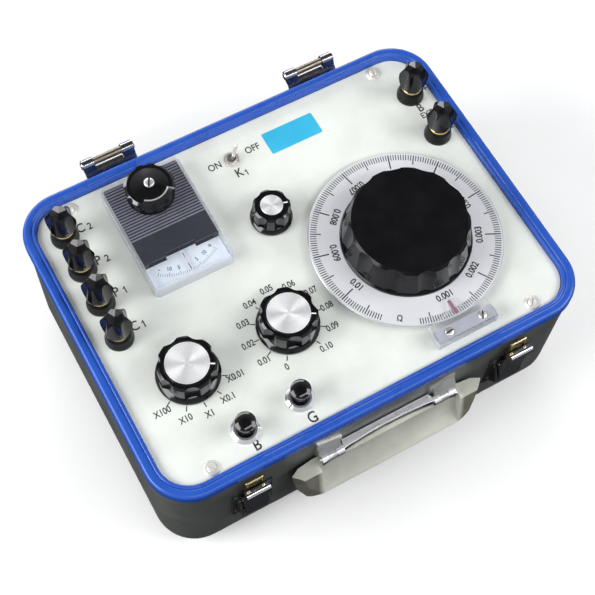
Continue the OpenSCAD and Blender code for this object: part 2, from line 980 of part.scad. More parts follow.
// Large knob: stepped skirt, shallow lobes, bevelled flat top.
module main_knob() {
  foot = grip_r - 1;
  body = grip_r - 4;
  scallop_r = 17;
  scallop_in = 1.4;
  lean = atan((foot - body + scallop_in) / grip_h);
  color([0.05, 0.05, 0.055])
    placed()
      translate([dial_x, dial_y, dial_z + dial_t])
        difference() {
          union() {
            cylinder(r = grip_r, h = 1.8);
            translate([0, 0, 1.8])
              cylinder(r1 = grip_r, r2 = foot, h = 0.8);
            difference() {
              union() {
                cylinder(r = foot, h = 2.6);
                translate([0, 0, 2.6])
                  cylinder(r1 = foot, r2 = body, h = grip_h - 4);
                translate([0, 0, grip_h - 1.4])
                  cylinder(r1 = body, r2 = body - 1.8, h = 1.4);
              }
              for (i = [0:grip_lobes - 1])
                rotate((i + 0.5) * 360 / grip_lobes)
                  translate([foot + scallop_r, 0, 0])
                    rotate([0, -lean, 0])
                      cylinder(r = scallop_r, h = 2 * grip_h);
            }
          }
          translate([0, 0, -1])
            cylinder(r = shaft_r + 0.15, h = 16);
        }
}

// Clear cursor: foot on the panel, tongue over the dial's edge.
module cursor_plate() {
  foot_y = dial_y - dial_r - 3;
  top = dial_z + dial_t + 0.9;
  color([0.86, 0.90, 0.93, 0.40])
    placed()
      translate([dial_x, 0, 0])
        difference() {
          union() {
            translate([-cursor_w / 2, foot_y - 9.5, panel_z])
              cube([cursor_w, 9.5, top - panel_z + 1.8]);
            translate([0, 0, top])
              linear_extrude(1.8)
                polygon(both_ways([[cursor_w / 2, foot_y - 0.5], [cursor_w / 2, foot_y + 4],
                  [4.5, foot_y + 7.5], [1.6, foot_y + 15.5]]));
          }
          for (x = [-cursor_hole, cursor_hole])
            translate([x, foot_y - 5, panel_z - 1])
              cylinder(r = 1.7, h = 20);
        }
}

module cursor_strip() {
  foot_y = dial_y - dial_r - 3;
  top = dial_z + dial_t + 2.7;
  color([0.74, 0.75, 0.76])
    placed()
      translate([dial_x, foot_y - 5, top])
        difference() {
          translate([1 - cursor_w / 2, -4, 0])
            cube([cursor_w - 2, 8.2, 1.2]);
          for (x = [-cursor_hole, cursor_hole])
            translate([x, 0, -1])
              cylinder(r = 1.7, h = 4);
        }
}

// Chrome bezels of the two press keys.
module key_bezels() {
  color([0.85, 0.85, 0.87])
    placed()
      for (p = [[key_b_x, key_y], [key_g_x, key_g_y]])
        translate([p[0], p[1], 0])
          difference() {
            union() {
              translate([0, 0, panel_z])
                cylinder(r = bezel_r, h = 1.4);
              translate([0, 0, panel_z + 1.4])
                cylinder(r1 = bezel_r, r2 = 7.2, h = 1.8);
              translate([0, 0, deck_z - 7])
                cylinder(r = 6.8, h = 11);
              translate([0, 0, deck_z - 3.5])
                cylinder(r = 8.6, h = 3.5, $fn = 6);
            }
            translate([0, 0, deck_z])
              cylinder(r = 5.9, h = 20);
            translate([0, 0, deck_z - 12])
              cylinder(r = stem_r + fit_gap, h = 20);
          }
}

module key_switches() {
  color([0.15, 0.14, 0.13])
    placed()
      for (p = [[key_b_x, key_y], [key_g_x, key_g_y]])
        translate([p[0], p[1], deck_z - 7]) {
          difference() {
            translate([-8, -7, -16])
              cube([16, 14, 16]);
            translate([0, 0, -5])
              cylinder(r = stem_r + 0.5, h = 8);
          }
          for (s = [-5, 0, 5])
            translate([s - 0.4, -2, -21])
              cube([0.8, 4, 6]);
        }
}

// Black press button with a waist and a domed top.
module key_button(x, y) {
  cap = panel_z + key_up;
  edge = 3;
  dome_r = 10.5;
  placed()
    translate([x, y, 0]) {
      translate([0, 0, deck_z - 7.5])
        cylinder(r = stem_r, h = cap - deck_z + 8.5);
      translate([0, 0, panel_z + 1])
        cylinder(r = neck_r, h = key_up);
      translate([0, 0, cap])
        cylinder(r1 = neck_r, r2 = key_r, h = 1.3);
      translate([0, 0, cap + 1.3])
        cylinder(r = key_r, h = edge - 1.3);
      translate([0, 0, cap + edge])
        intersection() {
          cylinder(r = key_r, h = 5);
          translate([0, 0, 2.2 - dome_r])
            sphere(r = dome_r);
        }
    }
}

module key_b() {
  color([0.05, 0.05, 0.06])
    key_button(key_b_x, key_y);
}

module key_g() {
  color([0.05, 0.05, 0.06])
    key_button(key_g_x, key_g_y);
}

// Flared black foot of each binding post.
module post_bases() {
  color([0.09, 0.09, 0.09])
    placed()
      for (p = post_list)
        translate([p[0], p[1], panel_z])
          difference() {
            union() {
              cylinder(r = post_r, h = 2);
              translate([0, 0, 2])
                cylinder(r1 = post_r, r2 = post_r - 1.2, h = 5.5);
              translate([0, 0, 7.5])
                cylinder(r1 = post_r - 1.2, r2 = post_r - 2, h = base_h - 7.5);
            }
            translate([0, 0, -1])
              cylinder(r = stud_r + 0.3, h = base_h + 2);
          }
}

// Brass studs with their clamping seats and nuts.
module post_studs() {
  color([0.78, 0.64, 0.32])
    placed()
      for (p = post_list)
        translate([p[0], p[1], 0])
          difference() {
            union() {
              translate([0, 0, deck_z - 16])
                cylinder(r = stud_r, h = cap_z + cap_h - 4 - deck_z + 16);
              translate([0, 0, panel_z + base_h])
                cylinder(r = post_r - 2.4, h = seat_h);
              translate([0, 0, deck_z - 4])
                cylinder(r = stud_r + 3, h = 4, $fn = 6);
            }
            translate([0, 0, deck_z - 12])
              rotate([0, 90, 0])
                translate([0, 0, -5])
                  cylinder(r = 0.8, h = 10);
          }
}

// Brass ring carried under a post's cap.
module post_ring(p) {
  color([0.80, 0.66, 0.32])
    placed()
      translate([p[0], p[1], ring_z])
        difference() {
          union() {
            cylinder(r = post_r - 2.3, h = 1);
            translate([0, 0, 1])
              cylinder(r1 = post_r - 2.3, r2 = post_r - 2.8, h = ring_h - 1);
          }
          translate([0, 0, -1])
            cylinder(r = stud_r + fit_gap, h = ring_h + 2);
        }
}

// Bud-shaped cap with six flutes that open towards the top.
module post_cap(p) {
  h = cap_h;
  flute_r = 7;
  flute_in = 2.9;
  flute_lean = 8;
  color([0.05, 0.05, 0.055])
    placed()
      translate([p[0], p[1], cap_z])
        difference() {
          intersection() {
            rotate_extrude()
              polygon([[0, 0], [cap_r - 3, 0], [cap_r - 2.4, 0.6], [cap_r - 0.9, h * 0.2],
                [cap_r - 0.1, h * 0.4], [cap_r, h * 0.55], [cap_r - 0.1, h * 0.7],
                [cap_r - 4, h], [0, h]]);
            crown_faces(0);
            crown_faces(60);
            crown_faces(120);
          }
          for (a = [0:60:300])
            rotate(a)
              translate([cap_r + flute_r - flute_in, 0, h / 2])
                rotate([0, -flute_lean, 0])
                  translate([0, 0, -h])
                    cylinder(r = flute_r, h = 2 * h);
          translate([0, 0, -1])
            cylinder(r = stud_r + fit_gap, h = h - 1);
        }
}

module ring_c2() {
  post_ring(post_list[0]);
}

module ring_p2() {
  post_ring(post_list[1]);
}

module ring_p1() {
  post_ring(post_list[2]);
}

module ring_c1() {
  post_ring(post_list[3]);
}

module ring_plus() {
  post_ring(post_list[4]);
}

module ring_minus() {
  post_ring(post_list[5]);
}

module cap_c2() {
  post_cap(post_list[0]);
}

module cap_p2() {
  post_cap(post_list[1]);
}

module cap_p1() {
  post_cap(post_list[2]);
}

module cap_c1() {
  post_cap(post_list[3]);
}

module cap_plus() {
  post_cap(post_list[4]);
}

module cap_minus() {
  post_cap(post_list[5]);
}

// Wall plates with one lug each, and the pin through it.
module handle_brackets() {
  half = eye_l / 2 + 1;
  lug = 2.5;
  color([0.75, 0.76, 0.78])
    placed()
      for (m = [0, 1])
        mirror([m, 0, 0])
          translate([bracket_x, 0, 0]) {
            translate([0, wall_y, 0])
              rotate([90, 0, 0])
                linear_extrude(1.4)
                  polygon([[-half, pivot_z - 3], [half, pivot_z - 3],
                    [half, pivot_z + 16], [-half, pivot_z + 10]]);
            translate([2.2 - half, 0, 0])
              rotate([90, 0, 90])
                linear_extrude(2 * half - 2.2)
                  polygon([[wall_y - 0.5, pivot_z + 8], [wall_y - 1.4, pivot_z + 11],
                    [pivot_wy + 0.6, pivot_z + 4.6], [pivot_wy + 1.5, pivot_z + 3.3],
                    [pivot_wy + 2.2, pivot_z + 2.8], [wall_y - 0.5, pivot_z + 4]]);
            translate([-lug, 0, 0])
              rotate([90, 0, 90])
                linear_extrude(2 * lug) {
                  translate([pivot_wy, pivot_z])
                    circle(r = eye_r - 0.2);
                  polygon([[wall_y - 0.5, pivot_z - 2.4], [wall_y - 0.5, pivot_z + 4],
                    [pivot_wy + 1, pivot_z + 2.5], [pivot_wy + 1, pivot_z - 2.4]]);
                }
            translate([0.4 - half, pivot_wy, pivot_z])
              rotate([0, 90, 0])
                cylinder(r = 1.5, h = 2 * half - 0.8);
            translate([half - 0.7, pivot_wy, pivot_z])
              rotate([0, 90, 0])
                cylinder(r1 = 2.4, r2 = 1.8, h = 0.7);
          }
}

// Chrome strap: rolled eyes at the ends, bowed and narrow in the middle.
module handle_strap() {
  inner = pivot_wy + 3.4;
  waist = 2.4;
  end = bracket_x + eye_l / 2;
  sag = inner - waist - (pivot_wy - eye_r);
  bow = (end * end + sag * sag) / (2 * sag);
  crown = 9;
  top = pivot_z + 2.7;
  color([0.80, 0.81, 0.83])
    placed()
      difference() {
        union() {
          for (s = [-1, 1])
            translate([s * bracket_x - eye_l / 2, pivot_wy, pivot_z])
              rotate([0, 90, 0])
                cylinder(r = eye_r, h = eye_l);
          for (s = [-1, 1])
            translate([s * bracket_x - eye_l / 2, pivot_wy - 2.2, grip_top])
              cube([eye_l, 4.4, pivot_z - grip_top - 1.8]);
          intersection() {
            translate([0, 0, grip_top])
              linear_extrude(2 * eye_r + 4)
                difference() {
                  translate([-end, pivot_wy - eye_r + 0.1])
                    square([2 * end, inner - pivot_wy + eye_r - 0.1]);
                  translate([0, inner - waist - bow])
                    circle(r = bow, $fn = 288);
                  for (s = [-1, 1])
                    translate([s * bracket_x - eye_l / 2 - 0.6, pivot_wy + 1.4])
                      square([eye_l + 1.2, 6]);
                }
            translate([-end, pivot_wy + 1.2, top - crown])
              rotate([0, 90, 0])
                cylinder(r = crown, h = 2 * end);
          }
        }
        for (s = [-1, 1])
          translate([s * bracket_x - eye_l, pivot_wy, pivot_z])
            rotate([0, 90, 0])
              cylinder(r = 1.5 + fit_gap, h = 2 * eye_l);
        for (s = [-1, 1])
          translate([s * bracket_x - 2.8, pivot_wy - 6, grip_top + 0.8])
            cube([5.6, 12, 10]);
      }
}

// Moulded grip: faceted ends, a finger scoop in its face, hollow behind.
module handle_grip() {
  half = grip_l / 2;
  low = grip_top - grip_drop;
  scoop_r = 40;
  color([0.74, 0.74, 0.68])
    placed()
      difference() {
        intersection() {
          translate([0, 0, low])
            linear_extrude(grip_drop)
              polygon(both_ways([[half - 16, grip_back], [half - 6, grip_back - 1.2],
                [half, grip_back - 4.2], [half - 8, grip_face + 3.2], [half - 18, grip_face]]));
          translate([0, grip_back + 1, 0])
            rotate([90, 0, 0])
              linear_extrude(grip_back - grip_face + 2)
                polygon(both_ways([[half - 0.4, grip_top], [half, grip_top - 0.8],
                  [half - 3, low + 11], [half - 7, low + 3], [half - 12, low]]));
          translate([-half, 0, 0])
            rotate([90, 0, 90])
              linear_extrude(grip_l)
                polygon([[grip_back, low], [grip_face + 2.4, low], [grip_face, low + 2.4],
                  [grip_face + 5.2, grip_top - 1.2], [grip_face + 6.6, grip_top],
                  [grip_back, grip_top]]);
        }
        translate([-scoop_l / 2, grip_face + 9.1 - scoop_r, grip_top - 4.6])
          rotate([0, 90, 0])
            cylinder(r = scoop_r, h = scoop_l, $fn = 144);
        translate([-scoop_l / 2, grip_face + 9.1 - scoop_r, grip_top - 4.6])
          cube([scoop_l, scoop_r, 10]);
        translate([-half + 12, 0, 0])
          rotate([90, 0, 90])
            linear_extrude(grip_l - 24)
              polygon([[grip_back + 1, low - 1], [grip_face + 2.9, low - 1],
                [grip_face + 6.9, low + 9], [grip_face + 10.7, low + 19],
                [grip_face + 13, low + 21.5], [grip_back + 1, low + 21.5]]);
      }
}

// Riveted plates with cheeks for the latch levers.
module latch_bases() {
  cheek = lever_w / 2 + 0.6;
  plate_h = 40;
  rivet_in = 7;
  color([0.16, 0.16, 0.17])
    placed()
      for (s = [-1, 1])
        translate([s * latch_x, 0, 0]) {
          translate([-14, wall_y - 1.3, lever_z - 11])
            cube([28, 1.3, plate_h]);
          for (c = [-1, 1])
            translate([c * (cheek + 0.7) - 0.7, 0, 0])
              rotate([90, 0, 90])
                linear_extrude(1.4)
                  union() {
                    translate([lever_y, lever_z])
                      circle(r = 3.2);
                    polygon([[wall_y - 0.5, lever_z - 8], [wall_y - 0.5, lever_z + 14],
                      [wall_y - 2.4, lever_z + 14], [lever_y - 3, lever_z + 1],
                      [lever_y - 1.8, lever_z - 2.6], [wall_y - 2.4, lever_z - 8]]);
                  }
          translate([-cheek - 1, lever_y, lever_z])
            rotate([0, 90, 0])
              cylinder(r = 1.5, h = 2 * cheek + 2);
          for (x = [-1, 1], z = [rivet_in - 11, plate_h - 11 - rivet_in + 1])
            translate([x * 11.6, wall_y - 1.3, lever_z + z])
              rotate([90, 0, 0])
                cylinder(r1 = 1.8, r2 = 1.1, h = 0.9);
        }
}

// Pressed lever with side flanges and a rolled top edge.
module latch_lever(s) {
  top = lever_z + 40;
  roll_y = loop_y - loop_r - 0.4 - roll_r;
  placed()
    translate([s * latch_x, 0, 0])
      difference() {
        union() {
          translate([-lever_w / 2, face_y, lever_z - 1.5])
            cube([lever_w, face_t, top - lever_z + 1.5]);
          translate([-lever_w / 2, roll_y, top])
            rotate([0, 90, 0])
              cylinder(r = roll_r, h = lever_w);
          for (c = [-1, 1])
            translate([c * (lever_w - face_t) / 2 - face_t / 2, 0, 0])
              rotate([90, 0, 90])
                linear_extrude(face_t)
                  union() {
                    translate([lever_y, lever_z])
                      circle(r = 2.9);
                    polygon([[face_y + 0.4, lever_z - 1.5], [lever_y, lever_z - 1.5],
                      [lever_y + 2.8, lever_z + 0.5], [loop_y + 1.9, loop_z + 3],
                      [face_y + 2, loop_z + 12], [face_y + 0.4, loop_z + 12]]);
                  }
        }
        translate([-lever_w, lever_y, lever_z])
          rotate([0, 90, 0])
            cylinder(r = 1.5 + fit_gap, h = 2 * lever_w);
        translate([-lever_w, loop_y, loop_z])
          rotate([0, 90, 0])
            cylinder(r = loop_r + fit_gap, h = 2 * lever_w);
      }
}

module lever_left() {
  color([0.78, 0.79, 0.81])
    latch_lever(-1);
}

module lever_right() {
  color([0.78, 0.79, 0.81])
    latch_lever(1);
}

// Wire loop that hooks over the lid's catch.
module latch_loop(s) {
  half = lever_w / 2 - 3;
  tall = rim_z - 10.5 - loop_z;
  placed()
    translate([s * latch_x, loop_y, loop_z]) {
      for (c = [-1, 1])
        translate([c * half, 0, 0])
          cylinder(r = loop_r, h = tall);
      for (z = [0, tall])
        translate([0, 0, z])
          rotate([0, 90, 0])
            translate([0, 0, -(z == 0 ? lever_w / 2 - 0.1 : half)])
              cylinder(r = loop_r, h = 2 * (z == 0 ? lever_w / 2 - 0.1 : half));
      for (c = [-1, 1])
        translate([c * half, 0, tall])
          sphere(r = loop_r);
      translate([-half, -0.6, tall - 10.5])
        cube([2 * half, 1.2, 2.5]);
    }
}

module loop_left() {
  color([0.72, 0.62, 0.36])
    latch_loop(-1);
}

module loop_right() {
  color([0.72, 0.62, 0.36])
    latch_loop(1);
}

// Rear leaves of the lid hinges with two knuckles each.
module hinge_leaves() {
  t = 1.4;
  rear = -wall_y;
  bend_y = knuckle_y - 4.4;
  color([0.74, 0.75, 0.78])
    placed()
      for (s = [-1, 1])
        translate([s * hinge_x, 0, 0]) {
          translate([-18, 0, 0])
            rotate([90, 0, 90])
              linear_extrude(36)
                polygon([[rear, rim_z - 36], [rear + t, rim_z - 36], [rear + t, rim_z - 12.4],
                  [bend_y, rim_z - 5.2], [bend_y, rim_z - 3.4], [bend_y - 1.2, rim_z - 3.4],
                  [rear, rim_z - 10]]);
          for (x = [-11, 11], z = [-29, -18])
            translate([x, rear + t, rim_z + z])
              rotate([-90, 0, 0])
                cylinder(r1 = 2.6, r2 = 1.6, h = 1.1);
          for (k = [-1, 1])
            difference() {
              union() {
                translate([k * 14 - 4, knuckle_y, knuckle_z])
                  rotate([0, 90, 0])
                    cylinder(r = knuckle_r, h = 8);
                translate([k * 14 - 4, 0, 0])
                  rotate([90, 0, 90])
                    linear_extrude(8)
                      polygon([[bend_y - 0.6, rim_z - 5], [knuckle_y + 0.4, knuckle_z - knuckle_r + 0.1],
                        [knuckle_y - knuckle_r + 0.2, knuckle_z + 0.6], [bend_y - 0.6, rim_z - 3.5]]);
              }
              translate([k * 14 - 6, knuckle_y, knuckle_z])
                rotate([0, 90, 0])
                  cylinder(r = pin_r + fit_gap, h = 12);
            }
        }
}

module hinge_pins() {
  color([0.42, 0.38, 0.30])
    placed()
      for (s = [-1, 1])
        translate([s * hinge_x, knuckle_y, knuckle_z])
          rotate([0, 90, 0]) {
            translate([0, 0, -18.2])
              cylinder(r = pin_r, h = 36.4);
            for (k = [0, 1])
              mirror([0, 0, k])
                translate([0, 0, 18])
                  cylinder(r1 = pin_r + 0.7, r2 = pin_r, h = 0.8);
          }
}

case_shell();
rim_frame();
feet();
front_panel();
panel_screws();
battery_cover();
battery_box();
cells();
circuit_board();
meter_cover();
meter_body();
meter_scale();
meter_pointer();
zero_knob();
toggle_body();
toggle_lever();
sens_pot();
sens_knob();
sens_cap();
step_switch();
step_knob();
step_cap();
mult_switch();
mult_knob();
mult_cap();
shaft_bushes();
slide_wire();
main_shaft();
main_dial();
main_knob();
cursor_plate();
cursor_strip();
key_bezels();
key_switches();
key_b();
key_g();
post_bases();
post_studs();
ring_c2();
ring_p2();
ring_p1();
ring_c1();
ring_plus();
ring_minus();
cap_c2();
cap_p2();
cap_p1();
cap_c1();
cap_plus();
cap_minus();
handle_brackets();
handle_strap();
handle_grip();
latch_bases();
lever_left();
lever_right();
loop_left();
loop_right();
hinge_leaves();
hinge_pins();
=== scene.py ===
# %% [markdown]
# # A portable resistance bridge, dressed for its photograph
#
# The real object is a measuring instrument in a small suitcase. A dark grey steel tub holds the
# works, a blue pressed rim finishes its top edge, and a pale panel carries the meter, the dials,
# the keys and the binding posts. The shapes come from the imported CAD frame. This script gives
# every part its surface, prints the scales, adds the small screws and sets camera and light.

# %% Load the frame
import json
import math

import bpy
import bmesh
from mathutils import Matrix, Vector


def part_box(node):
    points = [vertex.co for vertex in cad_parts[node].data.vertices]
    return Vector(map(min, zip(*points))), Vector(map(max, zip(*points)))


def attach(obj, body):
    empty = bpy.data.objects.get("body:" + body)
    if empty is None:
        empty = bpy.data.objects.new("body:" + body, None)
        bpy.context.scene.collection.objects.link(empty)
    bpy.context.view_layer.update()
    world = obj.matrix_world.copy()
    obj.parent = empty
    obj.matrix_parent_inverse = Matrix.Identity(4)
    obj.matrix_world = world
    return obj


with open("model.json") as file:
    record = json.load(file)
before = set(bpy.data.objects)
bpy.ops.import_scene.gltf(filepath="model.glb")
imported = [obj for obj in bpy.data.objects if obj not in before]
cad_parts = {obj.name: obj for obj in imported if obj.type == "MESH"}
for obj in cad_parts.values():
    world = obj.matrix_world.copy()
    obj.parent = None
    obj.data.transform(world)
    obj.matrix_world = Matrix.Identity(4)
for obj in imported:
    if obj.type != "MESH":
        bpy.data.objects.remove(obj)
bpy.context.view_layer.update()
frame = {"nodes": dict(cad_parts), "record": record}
nodes = frame["nodes"]

# %% [markdown]
# ## Places on the panel
#
# The panel was laid out by a draughtsman from the middle of the case, so this script measures
# from there too. The frame's own zero lies a little further forward, because handle and hinges
# count in its box. Reading the middle from the case itself keeps every label in place if the
# case is built a little larger or smaller. Millimetres are easier to think in than metres, so
# one short function does the change.

# %% Measure the places from the CAD nodes
def middle(name):
    low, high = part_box(name)
    return (low + high) / 2


def size_of(name):
    low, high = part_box(name)
    return high - low


def top(name):
    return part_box(name)[1].z


MM = 0.001
CASE = middle("case_shell")
PANEL_Z = top("front_panel")


def at(x, y, z=0.0):
    """A place x mm right and y mm to the rear of the case's middle, z mm over the panel."""
    return Vector((CASE.x + x * MM, CASE.y + y * MM, PANEL_Z + z * MM))


DIAL = middle("main_dial")
STEP = middle("step_cap")
MULT = middle("mult_cap")
SENS = middle("sens_cap")
ZERO = middle("zero_knob")
print("case middle:", [round(v, 4) for v in CASE], "panel at", round(PANEL_Z, 4))
print("dial:", [round(v, 4) for v in DIAL], "step knob:", [round(v, 4) for v in STEP])

# %% [markdown]
# ## A kit for building node trees
#
# A material in Blender is a small network. Writing each network by hand takes many lines, so a
# few helpers add a node, join two sockets and do sums. With them a network reads like a short
# calculation. A value may be a plain number or a socket of another node.

# %% Helpers for node trees
def add(tree, kind, **settings):
    """Adds a node and sets its properties."""
    node = tree.nodes.new(kind)
    for key, value in settings.items():
        setattr(node, key, value)
    return node


def put(tree, socket, value):
    """Feeds an input: from another socket if value is one, else with the plain value."""
    if isinstance(value, bpy.types.NodeSocket):
        tree.links.new(value, socket)
    else:
        socket.default_value = value


def maths(tree, operation, a, b=0.0, clamp=False):
    node = add(tree, "ShaderNodeMath", operation=operation, use_clamp=clamp)
    put(tree, node.inputs[0], a)
    put(tree, node.inputs[1], b)
    return node.outputs[0]


def product(tree, first, *others):
    """Multiplies sockets and numbers."""
    for other in others:
        first = maths(tree, "MULTIPLY", first, other)
    return first


def remap(tree, value, low, high, to_low=0.0, to_high=1.0):
    """Maps the range from low to high onto the one from to_low to to_high, clamped."""
    node = add(tree, "ShaderNodeMapRange", clamp=True)
    labels = ("Value", "From Min", "From Max", "To Min", "To Max")
    for label, number in zip(labels, (value, low, high, to_low, to_high)):
        put(tree, node.inputs[label], number)
    return node.outputs["Result"]


print("sums ready")

# %% [markdown]
# ## Mixing colours and asking for places
#
# A finish is built like real paint, in layers: a base, and then for each coat a mask that says
# where it lies and a colour. The masks come from questions about the surface: where is this
# point, which way does it look, and what does the noise say here?

# %% Helpers for colours and places
def rgba(colour):
    """A colour of three values made opaque. A socket stays as it is."""
    return colour if isinstance(colour, bpy.types.NodeSocket) else (*colour, 1.0)


def mix_colour(tree, factor, a, b):
    node = add(tree, "ShaderNodeMix", data_type="RGBA")
    put(tree, node.inputs[0], factor)
    put(tree, node.inputs[6], rgba(a))
    put(tree, node.inputs[7], rgba(b))
    return node.outputs[2]


def layers(tree, base, *coats):
    """Lays coats of (mask, colour) over a base colour, the last one on top."""
    for mask, colour in coats:
        base = mix_colour(tree, mask, base, colour)
    return base


def noise(tree, vector, scale, detail=3.0, rough=0.55):
    node = add(tree, "ShaderNodeTexNoise", noise_dimensions="3D")
    labels = ("Vector", "Scale", "Detail", "Roughness")
    for label, value in zip(labels, (vector, scale, detail, rough)):
        put(tree, node.inputs[label], value)
    return node.outputs["Fac"]


def split(tree, vector):
    """The X, Y and Z of a vector."""
    node = add(tree, "ShaderNodeSeparateXYZ")
    put(tree, node.inputs[0], vector)
    return node.outputs


def object_place(tree):
    """The surface point in the object's own metres, so that marks stay put when a part moves."""
    return add(tree, "ShaderNodeTexCoord").outputs["Object"]


def facing(tree):
    """The direction that the surface looks in."""
    return add(tree, "ShaderNodeNewGeometry").outputs["Normal"]


print("colours and places ready")

# %% [markdown]
# ## Groups with named sockets
#
# A group is worth its trouble when two or more finishes need the same effect: grain is grain on
# enamel and on plastic, only its size and strength differ, and those become the group's inputs.
# Every input here is a number with a default. What comes out is a number or a direction.

# %% Helpers for groups
NUMBER, DIRECTION = "NodeSocketFloat", "NodeSocketVector"


def new_group(name, inputs, outputs):
    """A node group, what it is given and what it puts out."""
    group = bpy.data.node_groups.new(name, "ShaderNodeTree")
    for label, default in inputs.items():
        socket = group.interface.new_socket(name=label, in_out="INPUT", socket_type=NUMBER)
        socket.default_value = default
    for label, kind in outputs.items():
        group.interface.new_socket(name=label, in_out="OUTPUT", socket_type=kind)
    return group, add(group, "NodeGroupInput").outputs, add(group, "NodeGroupOutput").inputs


def use_group(tree, group, **values):
    """Places a group and returns its outputs. Underscores in a value's name stand for spaces."""
    node = add(tree, "ShaderNodeGroup", node_tree=group)
    for key, value in values.items():
        put(tree, node.inputs[key.replace("_", " ").capitalize()], value)
    return node.outputs


print("kinds of socket:", NUMBER, DIRECTION)

# %% [markdown]
# ## Edge wear
#
# Lacquer is thinnest on a sharp edge, so that is where it rubs through first, and on a brand new
# object the edge still looks a touch lighter. The Bevel node returns the direction a surface
# would face if its edges were rounded. Where that differs from the true direction there is an
# edge. A noise breaks the line up, because hands don't rub evenly.

# %% Edge wear group
def build_edge_wear():
    inputs = {"Width": 0.0006, "Breakup": 500.0, "Amount": 0.5}
    group, given, out = new_group("Edge wear", inputs, {"Mask": NUMBER})
    bevel = add(group, "ShaderNodeBevel", samples=4)
    put(group, bevel.inputs["Radius"], given["Width"])
    dot = add(group, "ShaderNodeVectorMath", operation="DOT_PRODUCT")
    put(group, dot.inputs[0], bevel.outputs["Normal"])
    put(group, dot.inputs[1], facing(group))
    # Where the surface is even both directions agree, and their product is one
    edge = remap(group, dot.outputs["Value"], 0.995, 0.86)
    spots = noise(group, object_place(group), given["Breakup"], 4.0, 0.65)
    broken = product(group, edge, remap(group, spots, 0.35, 0.62))
    put(group, out["Mask"], maths(group, "MULTIPLY", broken, given["Amount"], True))
    return group


EDGE_WEAR = build_edge_wear()
print("group:", EDGE_WEAR.name)

# %% [markdown]
# ## Grain and smudges
#
# No finish is perfectly even. Grain is the fine unevenness of the surface itself: sprayed
# enamel has a skin like an orange, mouldings have tiny pits. Smudges are broad and faint, and
# they show in the gloss more than in the colour. One group gives both, as heights and values.

# %% Grain group
def build_grain():
    inputs = {"Scale": 1500.0, "Stretch": 1.0, "Smudge scale": 45.0}
    group, given, out = new_group("Grain", inputs, dict.fromkeys(("Height", "Fine", "Smudge"), NUMBER))
    place = object_place(group)
    stretch = add(group, "ShaderNodeCombineXYZ")
    for socket, value in zip(stretch.inputs, (given["Stretch"], 1.0, 1.0)):
        put(group, socket, value)
    scaled = add(group, "ShaderNodeVectorMath", operation="MULTIPLY")
    put(group, scaled.inputs[0], place)
    put(group, scaled.inputs[1], stretch.outputs[0])
    fine = noise(group, scaled.outputs[0], given["Scale"], 5.0, 0.6)
    coarse = noise(group, scaled.outputs[0], product(group, given["Scale"], 0.27), 2.0)
    smudge = noise(group, place, given["Smudge scale"], 4.0, 0.6)
    height = maths(group, "ADD", product(group, fine, 0.4), product(group, coarse, 0.6))
    put(group, out["Height"], height)
    put(group, out["Fine"], remap(group, fine, 0.3, 0.7))
    put(group, out["Smudge"], remap(group, smudge, 0.35, 0.68))
    return group


GRAIN = build_grain()
print("group:", GRAIN.name)

# %% [markdown]
# ## Dust
#
# Dust settles on what faces up and gathers where a cloth can't reach. The group therefore looks
# at how far up the surface faces, weighs that with an ambient occlusion reading for the
# corners, and scatters the rest with noise. It only gives a mask; each finish decides how pale
# its dust is. The object in the photo is clean, so the amounts stay small.

# %% Dust group
def build_dust():
    inputs = {"Amount": 0.2, "Scale": 900.0, "Corner reach": 0.006}
    group, given, out = new_group("Dust", inputs, {"Mask": NUMBER})
    up = remap(group, split(group, facing(group))["Z"], 0.2, 0.95)
    corner = add(group, "ShaderNodeAmbientOcclusion", samples=4)
    put(group, corner.inputs["Distance"], given["Corner reach"])
    held = remap(group, corner.outputs["AO"], 0.95, 0.45, 0.15, 1.0)
    specks = remap(group, noise(group, object_place(group), given["Scale"], 6.0, 0.75), 0.5, 0.72)
    mask = product(group, up, held, specks)
    put(group, out["Mask"], maths(group, "MULTIPLY", mask, given["Amount"], True))
    return group


DUST = build_dust()
print("group:", DUST.name)

# %% [markdown]
# ## Turned grooves
#
# The bright discs in the knobs and the big dial were faced on a lathe. The tool leaves rings so
# fine that nobody sees one of them, but together they spread light sideways and make the
# well-known bow tie of highlights. The group measures how far a point is from the axis and
# reads a noise along that distance only, so every mark runs right round.

# %% Turned groove group
AXIS = {"Centre x": 0.0, "Centre y": 0.0}


def from_axis(group, given):
    """How far a point is from the part's axis in x, in y and straight."""
    place = split(group, object_place(group))
    dx = maths(group, "SUBTRACT", place["X"], given["Centre x"])
    dy = maths(group, "SUBTRACT", place["Y"], given["Centre y"])
    square = maths(group, "ADD", product(group, dx, dx), product(group, dy, dy))
    return dx, dy, maths(group, "SQRT", square)


def build_turned():
    outputs = dict.fromkeys(("Height", "Tone", "Radius"), NUMBER)
    group, given, out = new_group("Turned grooves", {**AXIS, "Rings per metre": 5000.0}, outputs)
    radius = from_axis(group, given)[2]
    for label, factor, detail in (("Height", 1.0, 4.0), ("Tone", 0.12, 3.0)):
        rings = add(group, "ShaderNodeTexNoise", noise_dimensions="1D")
        put(group, rings.inputs["W"], radius)
        put(group, rings.inputs["Scale"], product(group, given["Rings per metre"], factor))
        put(group, rings.inputs["Detail"], detail)
        put(group, out[label], rings.outputs["Fac"])
    put(group, out["Radius"], radius)
    return group


TURNED = build_turned()
print("group:", TURNED.name)

# %% [markdown]
# ## Crowned and faceted tops
#
# Polished black plastic shows nothing of itself, only what it mirrors, so tiny slopes decide
# where a streak falls. Two groups give such slopes as surface directions. The first is a crown
# that leans out more and more from its middle, like the top of a turned knob. Its Share can
# gather the directions toward a Front, which draws a lamp's reflection out into a long arc. The
# second leans in flat sectors, like the roof of a fluted cap. Both turn with their part.

